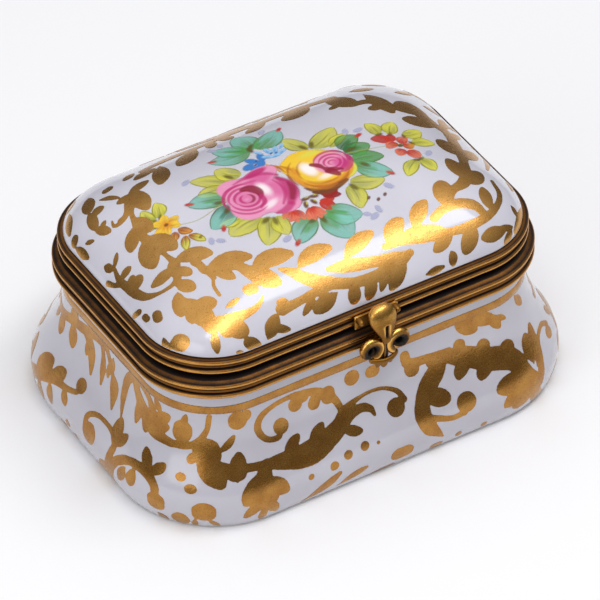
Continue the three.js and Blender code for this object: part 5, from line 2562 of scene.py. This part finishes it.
        canvas.stroke(
            [(-8.2, 1.1), (-7.2, 0.9), (-6.5, 0.2), (-6.2, -0.8), (-6.6, -2)], [0.8, 1.5, 1.7, 1.3, 0.4],
            Tint.CRIMSON, 0.92, 0.35,
        )
        canvas.stroke([(-6.3, -1.6), (-6.6, -3), (-7.8, -3.9)], [0.8, 0.8, 0.3], Tint.ROSE, 0.85, 0.3)

    def yellow_rose(self, canvas: Canvas) -> None:
        """Yellow rose with a pink heart.

        Args:
            canvas: The sheet.
        """
        lobes = [
            (4.4, -0.6, 4.9, 4.6, 0), (1.6, 1.4, 2.5, 2.8, 20), (3.6, 2.8, 3.2, 2, -10),
            (7.4, -2.6, 2.4, 2.2, 20), (3.8, -3.8, 3.4, 1.8, 0),
        ]
        for i, (x, y, rx, ry, turn) in enumerate(lobes):
            canvas.dab(x, y, rx, ry, Tint.LEMON if i == 3 else Tint.YELLOW, 0.97, turn, 0.14)
        for k in range(5):
            x, y = -1.9 + 0.55 * k, 4.6 - 0.55 * k
            canvas.stroke(
                [(x, y), (x + 0.7, y - 1.3), (x + 0.9, y - 2.8)], [0.2, 0.4, 0.2],
                Tint.AMBER if k % 2 else Tint.ORANGE, 0.8, 0.25,
            )
        canvas.dab(5, 3.2, 3.0, 1, Tint.LEMON, 0.8, 0, 0.8)
        strokes = [
            (4.4, 3.8, 140, 215, 1.1, Tint.ORANGE, 0.8), (4.5, 4.0, 190, 262, 1.4, Tint.ORANGE, 0.85),
            (4.4, 3.9, 232, 315, 1.9, Tint.ORANGE, 0.9), (4.5, 3.9, 290, 356, 1.2, Tint.ORANGE, 0.85),
            (4.4, 4.1, 205, 325, 0.7, Tint.AMBER, 0.85), (3.7, 3.2, 200, 290, 0.6, Tint.AMBER, 0.55),
            (5.2, 4.6, 128, 200, 0.4, Tint.AMBER, 0.85), (3.7, 3.5, 118, 196, 0.4, Tint.AMBER, 0.75),
            (5.3, 4.9, 212, 250, 0.7, Tint.BROWN, 0.8),
        ]
        for rx, ry, start, end, width, tint, cover in strokes:
            canvas.arc((4.6, -0.8), (rx, ry), start, end, width, tint, cover, 0.4)
        canvas.dab(2.9, 0, 1.5, 2.5, Tint.WHITE, 0.92, 12, 0.65)
        canvas.dab(4.6, -2.6, 2.2, 0.9, Tint.WHITE, 0.7, 4, 0.75)
        canvas.dab(6.6, -0.4, 3.0, 2.8, Tint.PALE_PINK, 0.95, 0, 0.2)
        canvas.dab(7.9, -1.0, 1.9, 2.0, Tint.PINK, 0.9, 0, 0.7)
        hearts = [
            (2.9, 2.7, 10, 160, 0.5, Tint.ROSE, 0.8), (2.8, 2.6, -100, 20, 1.1, Tint.ROSE, 0.8),
            (2.1, 1.9, 10, 160, 0.45, Tint.ROSE, 0.85), (2.0, 1.9, -110, 10, 0.6, Tint.ROSE, 0.85),
            (1.3, 1.2, 20, 210, 0.4, Tint.ROSE, 0.85), (1.3, 1.2, -120, 30, 0.45, Tint.ROSE, 0.85),
            (0.6, 0.5, 0, 250, 0.3, Tint.ROSE, 0.8),
        ]
        for rx, ry, start, end, width, tint, cover in hearts:
            canvas.arc((6.8, -0.4), (rx, ry), start, end, width, tint, cover, 0.25)
        canvas.stroke(
            [(3.8, 0.7), (4.6, 0), (5, -0.9), (5.6, -2), (6.2, -3.2)], [0.8, 1, 0.7, 1.5, 0.9], Tint.CRIMSON,
            0.92, 0.3,
        )
        canvas.stroke([(5.0, -1.9), (6, -1.8), (7.3, -2.5)], [0.7, 1, 0.5], Tint.CRIMSON, 0.85, 0.3)
        canvas.stroke(
            [(0.9, -4.9), (2.6, -5.6), (4.6, -5.4), (6.6, -4.9)], [0.6, 1.3, 1.1, 0.6], Tint.BROWN, 0.85, 0.3,
        )
        canvas.stroke([(1.8, -4.6), (3.4, -5.1), (5, -4.9)], [0.3, 0.5, 0.3], Tint.AMBER, 0.9, 0.25)

    def daisies(self, canvas: Canvas) -> None:
        """Coral daisies under the roses.

        Args:
            canvas: The sheet.
        """
        fans = [
            ((-3.8, -6.8), 2.5, (195, 225, 255, 285), Tint.CORAL),
            ((-1.2, -7.4), 2.7, (230, 255, 280, 305), Tint.CORAL),
            ((0.6, -7), 2.4, (-70, -40, -10), Tint.RED), ((1.6, -6.2), 2.9, (-20, 8, 35), Tint.DARK_RED),
        ]
        for i, (heart, size, turns, tint) in enumerate(fans):
            for k, turn in enumerate(turns):
                angle = math.radians(turn)
                tip = (heart[0] + size * math.cos(angle), heart[1] + size * math.sin(angle))
                canvas.petal(
                    heart, tip, size * 0.55, Tint.RED if tint == Tint.CORAL else tint, tint, None, 0.9,
                    seed=160 + 9 * i + k,
                )
        for x, y, rx, turn in (
            (-2.4, -5.9, 1.2, 30), (-1, -5.5, 1.1, 0), (0.4, -5.6, 1, -20), (-1.6, -6.6, 1.0, 70),
            (-0.2, -6.6, 0.9, 110), (1.4, -5.2, 0.8, 20),
        ):
            canvas.dab(x, y, rx, 0.5, Tint.BROWN, 0.75, turn, 0.6)
            canvas.dab(x + 0.3, y + 0.2, rx * 0.5, 0.2, Tint.LEMON, 0.6, turn, 0.6)

    def sprigs(self, canvas: Canvas) -> None:
        """Small sprigs on both sides, and loose dabs.

        Args:
            canvas: The sheet.
        """
        for start, bend, end in (
            ((9, 0.4), (13.6, -0.6), (19, -1.6)), ((17, -0.8), (19.6, -3.6), (19.8, -7)),
            ((-12, 0), (-17, -1), (-21, 0.6)),
        ):
            canvas.stroke([start, bend, end], [0.2, 0.15, 0.15], Tint.LIME, 0.5)
        right = [
            ((17.4, -0.2), (14.8, 1.6), 1.9, Tint.RED), ((17.6, -0.4), (18.2, 1.4), 1.6, Tint.RED),
            ((18, -1), (15.8, -1.6), 1.6, Tint.CORAL), ((18.4, -1.4), (20.2, 0), 1.6, Tint.CORAL),
            ((18.2, -3), (16.4, -3.9), 1.7, Tint.CORAL), ((18.4, -3.4), (19.2, -5.8), 1.9, Tint.CORAL),
            ((18.4, -2), (20.3, -2.4), 1.5, Tint.ORANGE),
        ]
        for i, (base, tip, width, tint) in enumerate(right):
            canvas.petal(base, tip, width * 1.15, Tint.RED, tint, None, 0.9, seed=200 + i)
        lime = [
            ((16.6, 2), (16.2, 5.4), 2), ((18.2, 1.4), (20.4, 4.2), 2.2), ((20, 0.2), (23.6, 1), 2.2),
            ((20.2, -1.8), (23.9, -2.8), 2), ((18.4, -6), (15.2, -8.6), 2), ((19.2, -6), (20, -9.2), 2),
            ((-21.2, 3.4), (-20.2, 6.6), 1.9), ((-22.2, 3.2), (-22.8, 6.7), 1.7),
            ((-22.8, 2.2), (-24.8, 4), 1.6),
        ]
        for i, (base, tip, width) in enumerate(lime):
            canvas.petal(base, tip, width * 1.25, Tint.LIME, Tint.LEMON, Tint.OLIVE, 0.9, seed=220 + i)
            canvas.dab(*base, 0.9, 0.45, Tint.OLIVE, 0.7, 40 * i, 0.7)
        canvas.dab(18.1, -1.8, 0.6, 0.5, Tint.OLIVE, 0.8)
        for k in range(6):
            turn = math.radians(60 * k + 12)
            tip = (-21.3 + 2.5 * math.cos(turn), 1.4 + 2.2 * math.sin(turn))
            canvas.petal((-21.3, 1.4), tip, 1.6, Tint.ORANGE, Tint.YELLOW, None, 0.95, seed=240 + k)
        canvas.dab(-21.3, 1.4, 0.5, 0.45, Tint.BROWN, 0.85)
        for i, (base, tip) in enumerate((
            ((-20.4, -0.6), (-18.9, -2.6)), ((-21, -0.8), (-22.4, -2.4)), ((-20.2, -2.6), (-21.6, -5.4)),
            ((-19.8, -2.8), (-18.4, -5.6)),
        )):
            canvas.petal(
                base, tip, 1.5, Tint.AMBER, Tint.ORANGE if i < 2 else Tint.LEMON, Tint.BROWN, 0.9,
                seed=250 + i,
            )
        dabs = [
            (-14.2, 7.6, 1, 30), (-6.2, 13.7, 1, 120), (-4.4, 14.4, 0.9, 80), (2.6, 13.6, 1, 50),
            (12.4, 5, 1, 60), (14.3, 4.4, 1, 10), (11.6, -9, 1, 130), (6.7, -13.1, 1, 20),
            (7.9, -12.2, 0.9, 100), (5.8, -12.3, 0.8, 150), (-17.8, -6.2, 0.9, 70), (-16.6, -6.9, 0.9, 140),
            (21.3, -5, 1, 40), (-7.6, -11.2, 1, 20),
        ]
        for x, y, size, turn in dabs:
            canvas.dab(x, y, size * 1.1, size * 0.65, Tint.LILAC, 0.75, turn, 0.6)
        for x, y in ((7.6, -9.7), (8.8, -10.6), (10.2, -10.2), (-18.6, -4.4)):
            canvas.dab(x, y, 0.5, 0.35, Tint.BROWN, 0.7, 40)

    def build(self) -> None:
        """Paints the spray and makes the piece."""
        canvas = Canvas(self.low, self.high)
        self.leaves(canvas)
        self.sprigs(canvas)
        self.daisies(canvas)
        self.blue_florets(canvas)
        self.yellow_rose(canvas)
        self.pink_rose(canvas)
        shown = canvas.cover > self.least_cover
        rows, columns = shown.shape
        keep = shown[:-1, :-1] | shown[:-1, 1:] | shown[1:, :-1] | shown[1:, 1:]
        j, i = np.nonzero(keep)
        index = np.arange(rows * columns).reshape(rows, columns)
        quads = np.stack([index[j, i], index[j, i + 1], index[j + 1, i + 1], index[j + 1, i]], axis=1)
        used, faces = np.unique(quads, return_inverse=True)
        faces = faces.reshape(quads.shape)
        x, y = canvas.x.ravel()[used], canvas.y.ravel()[used]
        cover = canvas.cover.ravel()[used]
        points, normals = self.chart.lifted(x, y, self.bare_lift + self.lift * cover)
        form = Form(points, [tuple(face) for face in faces.tolist()], normals=normals)
        piece = make_piece("lid_bouquet", form, Finish.ENAMEL, Body.LID)
        layer = piece.data.attributes.new("strokes", "FLOAT_COLOR", "POINT")
        strokes = np.column_stack([canvas.colour.reshape(-1, 3)[used], cover])
        layer.data.foreach_set("color", strokes.astype(np.float32).ravel())
        flat = piece.data.uv_layers.new(name="OFBake")
        span = np.array(self.high) - np.array(self.low)
        plan = (np.column_stack([x, y]) - self.low) / span.max()
        flat.data.foreach_set("uv", plan[faces.ravel()].astype(np.float32).ravel())


# ---- Studio ----


@dataclass
class Studio:
    """Pale table, soft lights and the camera."""

    azimuth: float = -30.6
    elevation: float = 40.3
    roll: float = -0.9
    distance: float = 0.9
    lens: float = 355.3
    sensor: float = 36.0
    aim_height: float = 26.3
    aim_right: float = 1.03
    aim_up: float = -9.45
    floor_half: float = 1.2
    lamp_aim: float = 0.03
    sky: tuple[Point, ...] = ((0.0, 0.07), (0.3, 0.18), (0.6, 0.44), (0.85, 0.95))
    sky_blue: float = 1.03
    sky_strength: float = 1.04

    def camera(self) -> None:
        """Places the camera."""
        azimuth, elevation, roll = (math.radians(a) for a in (self.azimuth, self.elevation, self.roll))
        back = Vector((
            math.sin(azimuth) * math.cos(elevation), -math.cos(azimuth) * math.cos(elevation),
            math.sin(elevation),
        ))
        level = Vector((math.cos(azimuth), math.sin(azimuth), 0.0))
        upright = back.cross(level)
        right = level * math.cos(roll) + upright * math.sin(roll)
        up = back.cross(right)
        aim = Vector((0, 0, self.aim_height * MM)) + (right * self.aim_right + up * self.aim_up) * MM
        data = bpy.data.cameras.new("studio_camera")
        data.lens = self.lens
        data.sensor_width = self.sensor
        data.clip_start = 0.01
        data.clip_end = 20.0
        camera = bpy.data.objects.new("studio_camera", data)
        turn = Matrix((right, up, back)).transposed()
        camera.matrix_world = Matrix.Translation(aim + back * self.distance) @ turn.to_4x4()
        bpy.context.scene.collection.objects.link(camera)
        bpy.context.scene.camera = camera

    def floor(self) -> None:
        """Makes the table."""
        half = self.floor_half
        mesh = bpy.data.meshes.new("studio_table")
        corners = [(-half, -half, 0), (half, -half, 0), (half, half, 0), (-half, half, 0)]
        mesh.from_pydata(corners, [], [(0, 1, 2, 3)])
        mesh.materials.append(Finish.PAPER.material())
        table = bpy.data.objects.new("studio_table", mesh)
        bpy.context.scene.collection.objects.link(table)
        table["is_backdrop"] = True

    def light(self, name: str, towards: Sequence[float], away: float, size: Point, watts: float) -> None:
        """Adds one soft box that faces the lid.

        Args:
            name: Its name.
            towards: Direction that it stands in.
            away: Its distance in metres.
            size: Its width and height in metres.
            watts: Its power.
        """
        data = bpy.data.lights.new(name, "AREA")
        data.shape = "RECTANGLE"
        data.size, data.size_y = size
        data.energy = watts
        lamp = bpy.data.objects.new(name, data)
        direction = Vector(towards).normalized()
        lamp.location = direction * away + Vector((0, 0, self.lamp_aim))
        lamp.rotation_euler = direction.to_track_quat("Z", "Y").to_euler()
        bpy.context.scene.collection.objects.link(lamp)

    def world(self) -> None:
        """Dim surroundings, darker low down."""
        world = bpy.data.worlds.new("studio_world")
        bpy.context.scene.world = world
        graph = Graph(world, "Generated")
        height = graph.add("ShaderNodeSeparateXYZ", {}, {0: graph.place}, "Z")
        stops = [(place, (grey, grey, grey * self.sky_blue)) for place, grey in self.sky]
        sky = graph.add("ShaderNodeValToRGB", {"stops": stops}, {"Fac": height}, "Color")
        glow = graph.add("ShaderNodeBackground", {}, {"Color": sky, "Strength": self.sky_strength})
        graph.add_output("ShaderNodeOutputWorld", glow)

    def build(self) -> None:
        """Sets up everything round the box."""
        self.camera()
        self.floor()
        self.world()
        self.light("soft_box_over", towards=(0.1, -0.31, 0.9), away=0.6, size=(0.75, 0.15), watts=1.6)
        self.light("soft_box_left", towards=(-0.9, -0.45, 0.45), away=0.7, size=(0.4, 0.4), watts=0.9)
        scene = bpy.context.scene
        scene.view_settings.view_transform = "Standard"
        scene.view_settings.look = "None"


# ---- The box ----


def main() -> None:
    """Builds the box piece by piece, then the studio round it."""
    logging.basicConfig(level=logging.INFO, format="%(message)s")
    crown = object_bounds()[1].z / MM
    pivot = next(joint for joint in frame["joints"] if joint["name"] == "lid_hinge")["pos_m"]
    outline = Outline()
    axis_y, parting = pivot[1] / MM, pivot[2] / MM
    base = BasePorcelain(outline, parting)
    lid = LidPorcelain(outline, parting, crown)
    base.build()
    lid.build()
    Rims(outline, parting).build()
    Hinge(axis_y, parting).build()
    Clasp().build()
    BaseGilding(outline, base.chart()).build()
    lid_chart = lid.chart()
    LidGilding(lid_chart).build()
    Bouquet(lid_chart).build()
    Studio().build()


if __name__ == "__main__":
    main()
